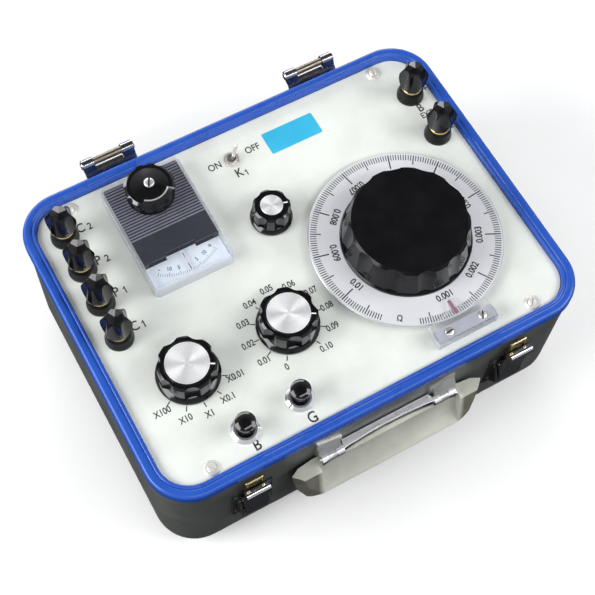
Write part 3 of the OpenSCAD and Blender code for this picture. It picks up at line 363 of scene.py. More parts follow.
# %% Crown and facet groups
def lean(group, toward, slope):
    """A direction that leans by slope toward an angle, from the part's own frame to the world's."""
    vector = add(group, "ShaderNodeCombineXYZ")
    x = product(group, maths(group, "COSINE", toward), slope)
    y = product(group, maths(group, "SINE", toward), slope)
    for socket, value in zip(vector.inputs, (x, y, 1.0)):
        put(group, socket, value)
    unit = add(group, "ShaderNodeVectorMath", operation="NORMALIZE")
    put(group, unit.inputs[0], vector.outputs[0])
    turned = add(
        group, "ShaderNodeVectorTransform", vector_type="NORMAL", convert_from="OBJECT", convert_to="WORLD")
    put(group, turned.inputs[0], unit.outputs[0])
    return turned.outputs[0]


def angle_from(group, given, start):
    """The angle of a point round the part's axis, counted from the start, and its radius."""
    dx, dy, radius = from_axis(group, given)
    return maths(group, "SUBTRACT", maths(group, "ARCTAN2", dy, dx), given[start]), radius


def build_crown():
    inputs = {"Inner": 0.004, "Outer": 0.015, "Slope in": 0.1, "Slope out": 0.5, "Front": 0.0, "Share": 1.0}
    group, given, out = new_group("Crown", {**AXIS, **inputs}, {"Normal": DIRECTION})
    angle, radius = angle_from(group, given, "Front")
    slope = remap(group, radius, *(given[label] for label in ("Inner", "Outer", "Slope in", "Slope out")))
    toward = maths(group, "ADD", product(group, angle, given["Share"]), given["Front"])
    put(group, out["Normal"], lean(group, toward, slope))
    return group


def build_facets():
    inputs = {"First": math.radians(30), "Step": math.radians(60), "Slope": 0.45}
    group, given, out = new_group("Facets", {**AXIS, **inputs}, {"Normal": DIRECTION})
    angle, _ = angle_from(group, given, "First")
    sector = maths(group, "ROUND", maths(group, "DIVIDE", angle, given["Step"]))
    toward = maths(group, "ADD", product(group, sector, given["Step"]), given["First"])
    put(group, out["Normal"], lean(group, toward, given["Slope"]))
    return group


CROWN, FACETS = build_crown(), build_facets()
print("groups:", CROWN.name, FACETS.name)

# %% [markdown]
# ## Starting a finish
#
# Every finish below begins the same way: an empty material with one Principled shader, the three
# shared effects, and a bump node that turns a height into a surface direction. What makes brass
# brass and rubber rubber comes after. Colours are linear values of red, green and blue.

# %% Finish helpers
MATERIALS = {}
DUST_TONE = (0.42, 0.40, 0.36)


def begin(name, grain, wear=None, dust=None):
    """A new finish: its tree, its shader, its grain and its masks of worn edges and dust."""
    material = bpy.data.materials.new(name)
    material.use_nodes = True
    MATERIALS[name] = material
    tree = material.node_tree
    worn = use_group(tree, EDGE_WEAR, **wear)["Mask"] if wear else None
    dusty = use_group(tree, DUST, **dust)["Mask"] if dust else None
    return tree, tree.nodes["Principled BSDF"], use_group(tree, GRAIN, **grain), worn, dusty


def bump(tree, shader, height, strength, distance_mm):
    node = add(tree, "ShaderNodeBump")
    put(tree, node.inputs["Strength"], strength)
    put(tree, node.inputs["Distance"], distance_mm * MM)
    put(tree, node.inputs["Height"], height)
    put(tree, shader.inputs["Normal"], node.outputs["Normal"])


def gloss(tree, grain, rough, low, high):
    """A roughness that the smudges move between a low and a high share of its value."""
    return remap(tree, grain["Smudge"], 0.0, 1.0, rough * low, rough * high)


def tinted(colour, factor):
    return [min(1.0, c * factor) for c in colour]


def set_finish(tree, shader, colour, roughness):
    put(tree, shader.inputs["Base Color"], colour)
    put(tree, shader.inputs["Roughness"], roughness)


print("dust is", DUST_TONE)

# %% [markdown]
# ## Changing a finish in one place
#
# Some finishes are a plain one with something laid over it: a stain, a rubbed stripe, a facet.
# These helpers say where by height and by direction, and lay a colour or a new surface
# direction over what is already there.

# %% Helpers for places on a surface
# Heights in metres at the feet and far above the object
FLOOR, CEILING = 0.0, 1.0


def reshape(tree, shader, normal, mask):
    """Shades the surface as if it faced another way where the mask is one."""
    pick = add(tree, "ShaderNodeMix", data_type="VECTOR")
    put(tree, pick.inputs[0], mask)
    put(tree, pick.inputs[4], facing(tree))
    put(tree, pick.inputs[5], normal)
    put(tree, shader.inputs["Normal"].links[0].from_node.inputs["Normal"], pick.outputs[1])


def overlay(tree, shader, *coats):
    """Lays coats of (mask, colour) over the colour that a finish already has."""
    before = shader.inputs["Base Color"].links[0].from_socket
    put(tree, shader.inputs["Base Color"], layers(tree, before, *coats))


def where(tree, low, high, level):
    """A mask for points between two heights that face up by at least level."""
    height = split(tree, object_place(tree))["Z"]
    tall = product(tree, maths(tree, "GREATER_THAN", height, low), maths(tree, "LESS_THAN", height, high))
    return product(tree, tall, maths(tree, "GREATER_THAN", split(tree, facing(tree))["Z"], level))


print("places are told by height and direction")

# %% [markdown]
# ## Paint and metal
#
# Two families make most of the finishes. Paint, here also for mouldings, has a colour that
# drifts a little, paler edges where it is rubbed, and dust that dulls its gloss. Metal has
# brighter edges and dull patches, and dust makes it less metallic. A metal with bare below one
# is partly a diffuse grey, which is how satin plating reads under a broad light.

# %% Paint and metal
def paint(name, colour, worn, rough, grain_scale, bump_mm,
          coat=0.0, wear=0.35, dust=0.2, drift=0.05, shine=0.5):
    """Sprayed or moulded colour: grain, smudged gloss, paler edges and a little dust."""
    tree, shader, grain, edge, dusty = begin(name, {"scale": grain_scale}, {"amount": wear}, {"amount": dust})
    clean = mix_colour(tree, grain["Smudge"], tinted(colour, 1 - drift * 3), tinted(colour, 1 + drift))
    pitted = (product(tree, grain["Fine"], drift * 2), tinted(colour, 0.6))
    base = layers(tree, clean, pitted, (edge, worn), (dusty, DUST_TONE))
    dull = maths(tree, "ADD", gloss(tree, grain, rough, 0.8, 1.2), product(tree, dusty, 0.4), True)
    set_finish(tree, shader, base, dull)
    shader.inputs["Coat Weight"].default_value = coat
    shader.inputs["Coat Roughness"].default_value = 0.08
    shader.inputs["Specular IOR Level"].default_value = shine
    bump(tree, shader, grain["Height"], 0.35, bump_mm)
    return tree, shader


def metal(name, colour, dull, rough,
          grain_scale=2500.0, stretch=1.0, bump_mm=0.01, wear=0.3, dust=0.15, bare=1.0):
    """Bare or plated metal: brighter rubbed edges, dull patches and fine working marks."""
    effects = {"scale": grain_scale, "stretch": stretch, "smudge_scale": 120.0}
    rubbed = {"amount": wear, "width": 0.0004}
    tree, shader, grain, edge, dusty = begin(name, effects, rubbed, {"amount": dust})
    patches = product(tree, grain["Smudge"], 0.5)
    base = layers(tree, colour, (patches, dull), (edge, tinted(colour, 1.25)), (dusty, DUST_TONE))
    set_finish(tree, shader, base, gloss(tree, grain, rough, 0.75, 1.3))
    put(tree, shader.inputs["Metallic"], maths(tree, "SUBTRACT", bare, dusty, True))
    bump(tree, shader, grain["Height"], 0.3, bump_mm)
    return tree, shader


print("families: paint, metal")

# %% [markdown]
# ## Enamels
#
# The tub is stoved dark grey enamel. The rim is a glossy royal blue: a deep colour under a clear
# skin, so it gets a coat. The panel is a pale grey-green enamel, the colour laboratories liked
# because it doesn't dazzle. Its grain is faint, and its dust hides in the corners by the rim.

# %% Enamel finishes
paint("case_enamel", (0.104, 0.109, 0.102), (0.20, 0.205, 0.19), 0.44, 900.0, 0.05, wear=0.3, dust=0.1)
paint("rim_enamel", (0.018, 0.082, 0.42), (0.03, 0.11, 0.48), 0.30, 700.0, 0.003,
      coat=0.12, wear=0.05, dust=0.0, drift=0.02, shine=0.35)
paint("panel_enamel", (0.715, 0.745, 0.705), (0.80, 0.82, 0.79), 0.38, 1300.0, 0.012,
      wear=0.2, dust=0.25, drift=0.02)
paint("latch_black", (0.028, 0.028, 0.03), (0.30, 0.29, 0.28), 0.32, 1300.0, 0.02, wear=0.7)
print("enamels:", list(MATERIALS))

# %% [markdown]
# ## Mouldings
#
# Keys, knobs and post caps are polished black phenolic, hard and glassy. The foot of a post is
# the same stuff left from a duller mould. The big knob has a polished side and a top that came
# off a coarse disc, so that top is dull: the material asks which way the surface faces and
# changes tone and gloss only where it faces straight up.

# %% Black mouldings
PHENOLIC, POLISHED = (0.004, 0.004, 0.005), (0.003, 0.003, 0.004)


def black_moulding(name, side_rough, top_rough, top_tone=POLISHED, shine=0.5):
    effects = {"scale": 2600.0, "smudge_scale": 70.0}
    tree, shader, grain, edge, dusty = begin(
        name, effects, {"amount": 0.25, "width": 0.0005}, {"amount": 0.05, "scale": 1500.0})
    flat = remap(tree, split(tree, facing(tree))["Z"], 0.96, 0.995)
    fingered = (product(tree, grain["Smudge"], 0.2), (0.008, 0.008, 0.010))
    tone = layers(
        tree, PHENOLIC, (flat, top_tone), fingered, (edge, (0.04, 0.04, 0.045)), (dusty, (0.22, 0.22, 0.21)))
    blend = add(tree, "ShaderNodeMix", data_type="FLOAT")
    put(tree, blend.inputs[0], flat)
    put(tree, blend.inputs[2], gloss(tree, grain, side_rough, 0.7, 1.5))
    put(tree, blend.inputs[3], gloss(tree, grain, top_rough, 0.85, 1.15))
    set_finish(tree, shader, tone, blend.outputs[0])
    shader.inputs["Specular IOR Level"].default_value = shine
    bump(tree, shader, grain["Height"], 0.25, 0.006)
    return tree, shader


black_moulding("knob_black", 0.11, 0.16)
black_moulding("big_knob_black", 0.13, 0.36, shine=0.17)
black_moulding("moulded_black", 0.36, 0.40, (0.007, 0.007, 0.007), shine=0.22)
print("blacks:", [n for n in MATERIALS if n.endswith("black")])

# %% [markdown]
# ## Other plastics
#
# The meter's plate is a cool white. The rest is hardly ever seen: the rubber of the feet, and
# inside the case the sleeves of the cells, the brown laminate of board and switches, and the
# former that carries the slide wire.

# %% Other plastic finishes
PLATE_WHITE = (0.80, 0.88, 0.97)
paint("scale_white", PLATE_WHITE, (0.84, 0.88, 0.94), 0.5, 1500.0, 0.005, wear=0.0, dust=0.02, drift=0.01)
paint("foot_rubber", (0.018, 0.018, 0.018), (0.05, 0.05, 0.05), 0.75, 1200.0, 0.08, wear=0.2, dust=0.4)
paint("cell_sleeve", (0.05, 0.12, 0.34), (0.20, 0.26, 0.40), 0.3, 1400.0, 0.01, coat=0.3)
paint("board_laminate", (0.20, 0.12, 0.045), (0.30, 0.20, 0.10), 0.5, 1600.0, 0.02)
paint("former_brown", (0.09, 0.045, 0.02), (0.16, 0.09, 0.05), 0.42, 1600.0, 0.03)
print("plastics done:", len(MATERIALS), "finishes so far")

# %% [markdown]
# ## The grip
#
# The grip is a hollow beige moulding. The sides of its two solid ends get a painted shade: the finish asks
# how near a point is to an end and how far it looks sideways, and darkens the sideways faces there most,
# broken up a little by a noise.

# %% Grip finish
END_MM, END_FADE_MM = 18.0, 3.0
# The colour of the painted shade on the grip's ends
END_SHADE = (0.12, 0.118, 0.095)


def grip_finish(name):
    tree, shader = paint(
        name, (0.58, 0.585, 0.51), (0.68, 0.68, 0.62), 0.46, 1000.0, 0.04, wear=0.2, dust=0.1)
    place = object_place(tree)
    off_middle = maths(tree, "SUBTRACT", split(tree, place)["X"], middle("handle_grip").x)
    half = size_of("handle_grip").x / 2
    end = remap(
        tree, maths(tree, "ABSOLUTE", off_middle), half - END_MM * MM, half - (END_MM - END_FADE_MM) * MM)
    sideways = remap(tree, split(tree, facing(tree))["Z"], 0.85, 0.35, 0.28, 1.0)
    shade_breakup = remap(tree, noise(tree, place, 70.0, 4.0, 0.6), 0.3, 0.7, 0.8, 1.0)
    # Painted shade on the sides of the grip's ends, strongest where they face sideways
    overlay(tree, shader, (product(tree, end, sideways, shade_breakup), END_SHADE))


grip_finish("grip_beige")
print("grip ends:", END_MM, "mm")

# %% [markdown]
# ## The small knobs
#
# The skirt of each small knob slopes out, and its left side mirrors the big light as a white
# sickle. The solids' skirts are plain, so a crown is laid over whatever is lower than the skirt's
# shoulder and faces up. Each knob has its own axis and so its own material.

# %% Small knob finishes
SKIRT_RISE_MM = 4.4
# Name, how far the skirt's shoulder lies under the disc, and the skirt's radius, in mm
SKIRTS = (("step", 14.8, 20.2), ("mult", 14.8, 20.2), ("sens", 12.8, 13.8))

for label, shoulder_mm, reach_mm in SKIRTS:
    tree, shader = black_moulding("knob_" + label, 0.11, 0.16)
    disc = label + "_cap"
    skirt = use_group(
        tree, CROWN, centre_x=middle(disc).x, centre_y=middle(disc).y,
        inner=(reach_mm - SKIRT_RISE_MM) * MM, outer=reach_mm * MM, slope_in=0.42, slope_out=1.05)
    reshape(tree, shader, skirt["Normal"], where(tree, FLOOR, top(disc) - shoulder_mm * MM, 0.3))
print("knobs:", [n for n in MATERIALS if n.startswith("knob_")])

# %% [markdown]
# ## The zero knob
#
# The zero knob is the glossiest part. Its cone rounds off toward the front, where the front
# light draws a thin crescent. A crown over that side alone does it, with its directions gathered
# toward the front, so that the crescent is long and no other light falls into it.

# %% Zero knob finish
CONE_DEPTH_MM = 3.95
# The front as an angle in radians, the share that the directions keep, and the arc's half width
FRONT, KEPT, ARC = -1.62, 0.30, 0.26


def zero_finish(name):
    tree, shader = black_moulding(name, 0.10, 0.10, shine=0.8)
    crown = use_group(
        tree, CROWN, centre_x=ZERO.x, centre_y=ZERO.y, inner=9.7 * MM, outer=12.4 * MM,
        slope_in=0.45, slope_out=0.80, front=FRONT, share=KEPT)["Normal"]
    looks = split(tree, crown)
    forward = remap(tree, looks["Y"], -0.34, -0.40)
    aside = maths(tree, "ABSOLUTE", maths(tree, "DIVIDE", looks["X"], looks["Y"]))
    cone = where(tree, top("zero_knob") - CONE_DEPTH_MM * MM, CEILING, 0.8)
    reshape(tree, shader, crown, product(tree, forward, remap(tree, aside, ARC + 0.002, ARC), cone))


zero_finish("zero_black")
print("cone depth:", CONE_DEPTH_MM, "mm")

# %% [markdown]
# ## The post caps
#
# The cap of each binding post ends in a low roof of six kites, and those that face the rear
# catch the light behind. The facet group shades the cap's flat top that way.

# %% Post cap finishes
CAPS = ("cap_c2", "cap_p2", "cap_p1", "cap_c1", "cap_plus", "cap_minus")
for name in CAPS:
    tree, shader = black_moulding("black_" + name, 0.13, 0.15, PHENOLIC, shine=0.42)
    roof = use_group(tree, FACETS, centre_x=middle(name).x, centre_y=middle(name).y)
    reshape(tree, shader, roof["Normal"], where(tree, top(name) - 0.5 * MM, CEILING, 0.9))
print("caps:", len(CAPS))

# %% [markdown]
# ## The meter's ribbed face
#
# The meter's body is one navy moulding. Behind a plain band its front is cut into ribs, and on
# the real one the lands between the grooves are rubbed pale, which makes the stripes. The
# grooves are real ones in the CAD part. The finish only asks two things of a point: is it as
# high as the lands, and is it behind the band?

# %% Ribbed navy
BAND_MM = 16.0
NAVY = (0.012, 0.014, 0.026)


def ribbed_navy(name):
    tree, shader = paint(
        name, NAVY, (0.06, 0.065, 0.10), 0.36, 1800.0, 0.01, wear=0.2, dust=0.02, shine=0.22)
    place = object_place(tree)
    parts = split(tree, place)
    high_up = maths(tree, "GREATER_THAN", parts["Z"], top("meter_body") - 0.3 * MM)
    band_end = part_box("meter_scale")[1].y + BAND_MM * MM
    behind = maths(tree, "GREATER_THAN", parts["Y"], band_end)
    rubbed = remap(tree, noise(tree, place, 160.0, 5.0, 0.65), 0.3, 0.7, 0.75, 1.0)
    overlay(tree, shader, (product(tree, high_up, behind, rubbed), (0.19, 0.195, 0.25)))


ribbed_navy("meter_navy")
print("ribbed from", BAND_MM, "mm behind the window")

# %% [markdown]
# ## Metals
#
# Plating follows what lies under it, so bright chrome is nearly a mirror with a few dull
# patches. Nickel is warmer and a bit softer. Yellow zinc on the latch wire shows the pale gold
# of its passivation. The hinge pins are a darker chrome, and the shaft inside is plain steel.

# %% Metal finishes
metal("fitting_chrome", (0.78, 0.79, 0.82), (0.66, 0.67, 0.70), 0.14, bump_mm=0.004, dust=0.03)
metal("satin_chrome", (0.70, 0.71, 0.70), (0.58, 0.59, 0.57), 0.36, bump_mm=0.004, dust=0.03, bare=0.8)
metal("bezel_chrome", (0.86, 0.86, 0.88), (0.78, 0.78, 0.80), 0.20,
      bump_mm=0.002, wear=0.0, dust=0.0, bare=0.85)
metal("cup_nickel", (0.80, 0.78, 0.74), (0.70, 0.68, 0.64), 0.44,
      bump_mm=0.003, wear=0.1, dust=0.0, bare=0.55)
metal("switch_nickel", (0.78, 0.76, 0.72), (0.62, 0.60, 0.55), 0.30, bump_mm=0.004, bare=0.75)
metal("leaf_steel", (0.36, 0.36, 0.40), (0.25, 0.25, 0.28), 0.25, bump_mm=0.004, wear=0.6, dust=0.0)
metal("screw_steel", (0.70, 0.69, 0.67), (0.58, 0.57, 0.55), 0.40,
      bump_mm=0.004, wear=0.1, dust=0.05, bare=0.8)
metal("bright_brass", (0.74, 0.55, 0.24), (0.50, 0.36, 0.15), 0.18)
metal("loop_zinc", (0.60, 0.50, 0.27), (0.42, 0.36, 0.22), 0.30)
metal("shaft_steel", (0.30, 0.26, 0.21), (0.16, 0.13, 0.10), 0.36, stretch=0.1, bump_mm=0.03)
metal("pin_chrome", (0.50, 0.51, 0.53), (0.30, 0.30, 0.32), 0.17)
metal("cursor_aluminium", (0.50, 0.52, 0.59), (0.44, 0.46, 0.53), 0.50,
      grain_scale=1500.0, stretch=0.3, bump_mm=0.004, wear=0.6, dust=0.0, bare=0.5)
print("metals done:", len(MATERIALS), "finishes so far")

# %% [markdown]
# ## The handle's strap
#
# The strap is chrome on top. From a little below its rolled edge down, the finish paints it black and turns
# metal off, a painted shadow for the dark gap under the edge of the sheet.

# %% Strap finish
LIP_MM = 2.1


def strap_chrome(name):
    tree, shader = metal(
        name, (0.82, 0.82, 0.87), (0.76, 0.76, 0.81), 0.33, bump_mm=0.001, wear=0.0, dust=0.0, bare=0.66)
    height = split(tree, object_place(tree))["Z"]
    # Below this height the strap is painted black with no metal, a painted shadow
    painted_shadow = maths(tree, "LESS_THAN", height, top("handle_strap") - LIP_MM * MM)
    overlay(tree, shader, (painted_shadow, (0.008, 0.008, 0.009)))
    bare = shader.inputs["Metallic"].links[0].from_socket
    put(tree, shader.inputs["Metallic"], product(tree, bare, maths(tree, "SUBTRACT", 1.0, painted_shadow)))


strap_chrome("strap_chrome")
print("strap's lip:", LIP_MM, "mm")

# %% [markdown]
# ## Turned aluminium
#
# Each disc has its own axis, so each gets its own material with the axis' place fed into the
# groove group. Past a given radius the disc's edge is blacked, as on the real knobs. The
# highlight is stretched across the grooves with the shader's anisotropy, and a radial tangent
# tells it which way round the disc runs.

# %% Turned aluminium finishes
ALUMINIUM = (0.98, 0.985, 0.995)
DISC_ROUGH, DISC_BARE = 0.50, 0.8
# Name, middle, and the radius in mm where the blacked edge starts
DISCS = (("step", STEP, 13.6), ("mult", MULT, 13.6), ("sens", SENS, 7.3))


def turned_aluminium(name, centre, bright_mm):
    effects = {"scale": 1800.0, "smudge_scale": 60.0}
    tree, shader, grain, edge, dusty = begin(name, effects, {"amount": 0.3, "width": 0.0004}, {"amount": 0.1})
    grooves = use_group(tree, TURNED, centre_x=centre.x, centre_y=centre.y, rings_per_metre=9000.0)
    tone = remap(tree, grooves["Tone"], 0.3, 0.7, 0.0, 0.35)
    border = maths(tree, "GREATER_THAN", grooves["Radius"], bright_mm * MM)
    base = layers(
        tree, ALUMINIUM, (tone, tinted(ALUMINIUM, 0.72)), (edge, (0.95, 0.95, 0.97)),
        (dusty, (0.45, 0.44, 0.42)), (border, PHENOLIC))
    dull = gloss(tree, grain, DISC_ROUGH, 0.85, 1.15)
    set_finish(tree, shader, base, maths(tree, "SUBTRACT", dull, product(tree, border, 0.35), True))
    put(tree, shader.inputs["Metallic"], maths(tree, "SUBTRACT", DISC_BARE, border, True))
    shader.inputs["Anisotropic"].default_value = 0.78
    shader.inputs["Anisotropic Rotation"].default_value = 0.25
    tangent = add(tree, "ShaderNodeTangent", direction_type="RADIAL", axis="Z")
    put(tree, shader.inputs["Tangent"], tangent.outputs[0])
    bump(tree, shader, grooves["Height"], 0.2, 0.006)


for label, place, bright_mm in DISCS:
    turned_aluminium("turned_" + label, place, bright_mm)
print("turned discs done:", [n for n in MATERIALS if n.startswith("turned")])

# %% [markdown]
# ## The engraved dial
#
# The dial is aluminium with a pale etched and lacquered face. It shines much less than the knob
# discs, and it reads as a light lavender grey. It is mostly a paint, with the lathe's rings
# showing through faintly and a bright bare edge.

# %% Dial finish
DIAL_RADIUS = size_of("main_dial").x / 2


def dial_finish(name):
    tree, shader, grain, _, dusty = begin(
        name, {"scale": 2200.0, "smudge_scale": 40.0}, dust={"amount": 0.12, "corner_reach": 0.004})
    grooves = use_group(tree, TURNED, centre_x=DIAL.x, centre_y=DIAL.y, rings_per_metre=3500.0)
    rim = remap(tree, grooves["Radius"], DIAL_RADIUS - 0.7 * MM, DIAL_RADIUS - 0.3 * MM)
    tone = remap(tree, grooves["Tone"], 0.3, 0.7, 0.0, 0.25)
    base = layers(
        tree, (0.79, 0.80, 0.84), (tone, (0.71, 0.72, 0.77)),
        (product(tree, grain["Fine"], 0.08), (0.50, 0.50, 0.55)), (rim, (0.82, 0.82, 0.84)),
        (dusty, (0.40, 0.39, 0.37)))
    set_finish(tree, shader, base, remap(tree, grain["Smudge"], 0.0, 1.0, 0.34, 0.46))
    put(tree, shader.inputs["Metallic"], remap(tree, rim, 0.0, 1.0, 0.25, 1.0))
    bump(tree, shader, grooves["Height"], 0.12, 0.006)


dial_finish("dial_face")
print("dial radius in mm:", round(DIAL_RADIUS / MM, 2))

# %% [markdown]
# ## Clear acrylic
#
# The meter's cover and the cursor are cast acrylic. Seen through its face it is nearly invisible.
# Its cut edges and standing walls catch the light and look like pale lavender milk, and the
# polishing cloth leaves hairline scratches. The finish is therefore a pale milk whose alpha is
# low where the surface faces up, higher on the walls and highest along the edges. Light passes
# through it to the scale below.

# %% Acrylic finish
def acrylic(name, milk, face, wall, rim):
    tree, shader, grain, edge, dusty = begin(
        name, {"scale": 2400.0, "smudge_scale": 50.0}, {"amount": 1.0, "width": 0.0006, "breakup": 300.0},
        {"amount": 0.03})
    scratched = remap(tree, grain["Fine"], 0.0, 1.0, 0.03, 0.09)
    set_finish(tree, shader, mix_colour(tree, edge, milk, (0.93, 0.94, 0.97)), scratched)
    upright = remap(tree, maths(tree, "ABSOLUTE", split(tree, facing(tree))["Z"]), 0.9, 0.3)
    slant = add(tree, "ShaderNodeLayerWeight")
    put(tree, slant.inputs["Blend"], 0.35)
    seen = remap(tree, upright, 0.0, 1.0, face, wall)
    for mask, share in ((slant.outputs["Fresnel"], 0.25), (edge, rim), (grain["Smudge"], 0.003)):
        seen = maths(tree, "ADD", seen, product(tree, mask, share))
    put(tree, shader.inputs["Alpha"], maths(tree, "ADD", seen, dusty, True))
    shader.inputs["IOR"].default_value = 1.49
    bump(tree, shader, grain["Height"], 0.1, 0.004)


acrylic("clear_acrylic", (0.84, 0.86, 0.93), 0.002, 0.36, 0.40)
acrylic("frosted_acrylic", (0.66, 0.68, 0.76), 0.05, 0.40, 0.45)
print("acrylic done")

# %% [markdown]
# ## The needle
#
# Through the thick cover only part of the needle is easy to see. Its end is a fine black tip,
# then comes a pink length and a dark red one. Nearer the hub it is painted white like the plate,
# and navy where it runs over the band. Each colour starts some way behind the tip.

# %% Needle finish
NEEDLE_COLOURS = (
    (-1.0, (0.03, 0.03, 0.04)),
    (4.2, (0.66, 0.42, 0.52)),
    (8.8, (0.30, 0.03, 0.09)),
    (12.4, PLATE_WHITE),
    (14.2, NAVY),
)


def needle_finish(name):
    tree, shader = paint(name, (0.66, 0.05, 0.10), (0.70, 0.10, 0.12), 0.35, 2200.0, 0.004, dust=0.0)
    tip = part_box("meter_pointer")[0].y
    along = split(tree, object_place(tree))["Y"]
    coats = []
    for start, colour in NEEDLE_COLOURS:
        coats.append((maths(tree, "GREATER_THAN", along, tip + start * MM), colour))
    overlay(tree, shader, *coats)


needle_finish("needle")
print("needle length in mm:", round(size_of("meter_pointer").y / MM, 1))

# %% [markdown]
# ## Inks
#
# The panel's letters are screen printed, a few hundredths of a millimetre thick, and the ink is
# never quite even. Pointer lines on the knobs are white paint in a groove. The hairline on the
# cursor is red.

# %% Ink finishes
def ink(name, colour, worn, rough=0.45, bump_mm=0.004, dust=0.0):
    paint(name, colour, worn, rough, 2600.0, bump_mm, wear=0.0, dust=dust)


ink("ink_black", (0.022, 0.026, 0.024), (0.05, 0.05, 0.05), dust=0.03)
ink("ink_white", (0.80, 0.80, 0.79), (0.85, 0.85, 0.85), dust=0.02)
ink("ink_red", (0.36, 0.07, 0.16), (0.5, 0.1, 0.2))
ink("ink_grey", (0.16, 0.17, 0.20), (0.2, 0.2, 0.22), 0.5, 0.003)
paint("plate_blue", (0.035, 0.42, 0.66), (0.20, 0.55, 0.74), 0.36, 1700.0, 0.006,
      wear=0.2, dust=0.08, drift=0.03)
print("inks done:", len(MATERIALS), "finishes in all")

# %% [markdown]
# ## Dressing the CAD nodes
#
# The record says which slot each node belongs to, and most slots are one finish. A few nodes
# want something of their own: the discs and knobs with their own axis, the big knob with its
# dull top, the dial. This cell hands a material to every node and prints any that it missed,
# because a bare grey part is easy to overlook inside the case.

# %% Give every node its finish
OWN = {
    "main_dial": "dial_face",
    "main_knob": "big_knob_black",
    "zero_knob": "zero_black",
    "cursor_strip": "cursor_aluminium",
    "cursor_plate": "frosted_acrylic",
    "hinge_pins": "pin_chrome",
    "hinge_leaves": "leaf_steel",
    "handle_strap": "strap_chrome",
    "handle_brackets": "satin_chrome",
    "lever_left": "fitting_chrome",
    "lever_right": "fitting_chrome",
    "key_bezels": "bezel_chrome",
    "panel_screws": "cup_nickel",
    "meter_pointer": "needle",
}
OWN.update({name: "black_" + name for name in CAPS})
for label in ("step", "mult", "sens"):
    OWN[label + "_cap"] = "turned_" + label
    OWN[label + "_knob"] = "knob_" + label
SLOT_OF = {part["node"]: part["material_slot"] for part in frame["record"]["subparts"]}

bare = []
for name, obj in nodes.items():
    wanted = OWN.get(name, SLOT_OF.get(name))
    if wanted not in MATERIALS:
        bare.append(name)
        continue
    obj.data.materials.clear()
    obj.data.materials.append(MATERIALS[wanted])
print("dressed:", len(nodes) - len(bare), "bare:", bare)

# %% [markdown]
# ## Tools for small parts
#
# Whatever is added needs the same few steps: a mesh becomes an object, gets its finish, and is told which
# body it rides on. A block of a given size is the start of lines, plates and grooves.

# %% Part tools
def show(name, data):
    """Puts a mesh, a curve, a light or a camera into the scene."""
    obj = bpy.data.objects.new(name, data)
    bpy.context.scene.collection.objects.link(obj)
    return obj


def mesh_from(work, name):
    mesh = bpy.data.meshes.new(name)
    work.to_mesh(mesh)
    work.free()
    return mesh


def block(name, size, place, turn=0.0, corner=0.0):
    """A box mesh round a place, turned about Z in radians, its upright edges rounded by corner."""
    work = bmesh.new()
    bmesh.ops.create_cube(work, size=1.0)
    bmesh.ops.scale(work, vec=size, verts=work.verts)
    if corner:
        upright = [e for e in work.edges if abs(e.verts[0].co.z - e.verts[1].co.z) > 0.5 * size[2]]
        bmesh.ops.bevel(work, geom=upright, offset=corner, segments=4, affect="EDGES")
    mesh = mesh_from(work, name)
    mesh.transform(Matrix.Translation(place) @ Matrix.Rotation(turn, 4, "Z"))
    return mesh


def dress(obj, material, body):
    """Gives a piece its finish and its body."""
    obj.data.materials.clear()
    obj.data.materials.append(MATERIALS[material])
    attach(obj, body)
    print(obj.name, "has", len(obj.data.polygons), "faces")


def as_mesh(obj, name):
    """Turns a text, a curve or an object with modifiers into a plain mesh object."""
    bpy.context.view_layer.update()
    graph = bpy.context.evaluated_depsgraph_get()
    mesh = bpy.data.meshes.new_from_object(obj.evaluated_get(graph))
    mesh.transform(obj.matrix_world)
    bpy.data.objects.remove(obj)
    return show(name, mesh)


# %% [markdown]
# ## Tools for printing
#
# Lettering starts as a text curve, which Blender fills from its own built-in font. Turning it
# into a mesh makes it light and lets many words join into one object. Lines are flat blocks.
# Both sit a few hundredths of a millimetre above the surface they are printed on, as ink does.

# %% Printing tools
CAP_SHARE = 0.70
INK_MM = 0.02


def word(text, height, place, turn=0.0, squeeze=0.86, bold=0.0):
    """A printed word, height mm tall, centred on place and turned about Z by turn degrees."""
    curve = bpy.data.curves.new("word", "FONT")
    curve.body = text
    curve.size = height * MM / CAP_SHARE
    curve.align_x, curve.align_y = "CENTER", "CENTER"
    curve.extrude = INK_MM / 2 * MM
    curve.offset = bold * MM
    curve.resolution_u = 6
    obj = show("word", curve)
    spin = Matrix.Rotation(math.radians(turn), 4, "Z") @ Matrix.Diagonal((squeeze, 1, 1, 1))
    obj.matrix_world = Matrix.Translation(place + Vector((0, 0, INK_MM * MM))) @ spin
    return as_mesh(obj, "word")


def line(start, end, width):
    """A printed line, width mm wide, from start to end."""
    along = end - start
    centre = (start + end) / 2 + Vector((0, 0, INK_MM * MM))
    size = (along.length, width * MM, INK_MM * MM)
    return show("line", block("line", size, centre, math.atan2(along.y, along.x)))


def round_place(centre, radius, angle, z):
    """The place at a radius in mm and an angle in degrees round a centre, at height z in metres."""
    turn = math.radians(angle)
    return Vector((centre.x + radius * MM * math.cos(turn), centre.y + radius * MM * math.sin(turn), z))


def ray(centre, inner, outer, angle, z, width):
    """A printed line that points away from a centre, from one radius in mm to another."""
    return line(round_place(centre, inner, angle, z), round_place(centre, outer, angle, z), width)


def join(parts, name, material, body):
    """Joins printed pieces into one object with one finish that moves with a body."""
    whole = bmesh.new()
    for part in parts:
        whole.from_mesh(part.data)
        bpy.data.objects.remove(part)
    dress(show(name, mesh_from(whole, name)), material, body)


print("ink is", INK_MM, "mm thick")

# %% [markdown]
# ## The slide-wire dial's scale
#
# One thousandth of an ohm takes 32 degrees. Between two numbered lines there are twenty small
# steps, with a middle-sized line at the half. The scale runs from a little above nothing to a
# little past the last number, and the sign for ohm sits in the gap. Everything is drawn in a
# loop from those few facts, and it turns with the dial.

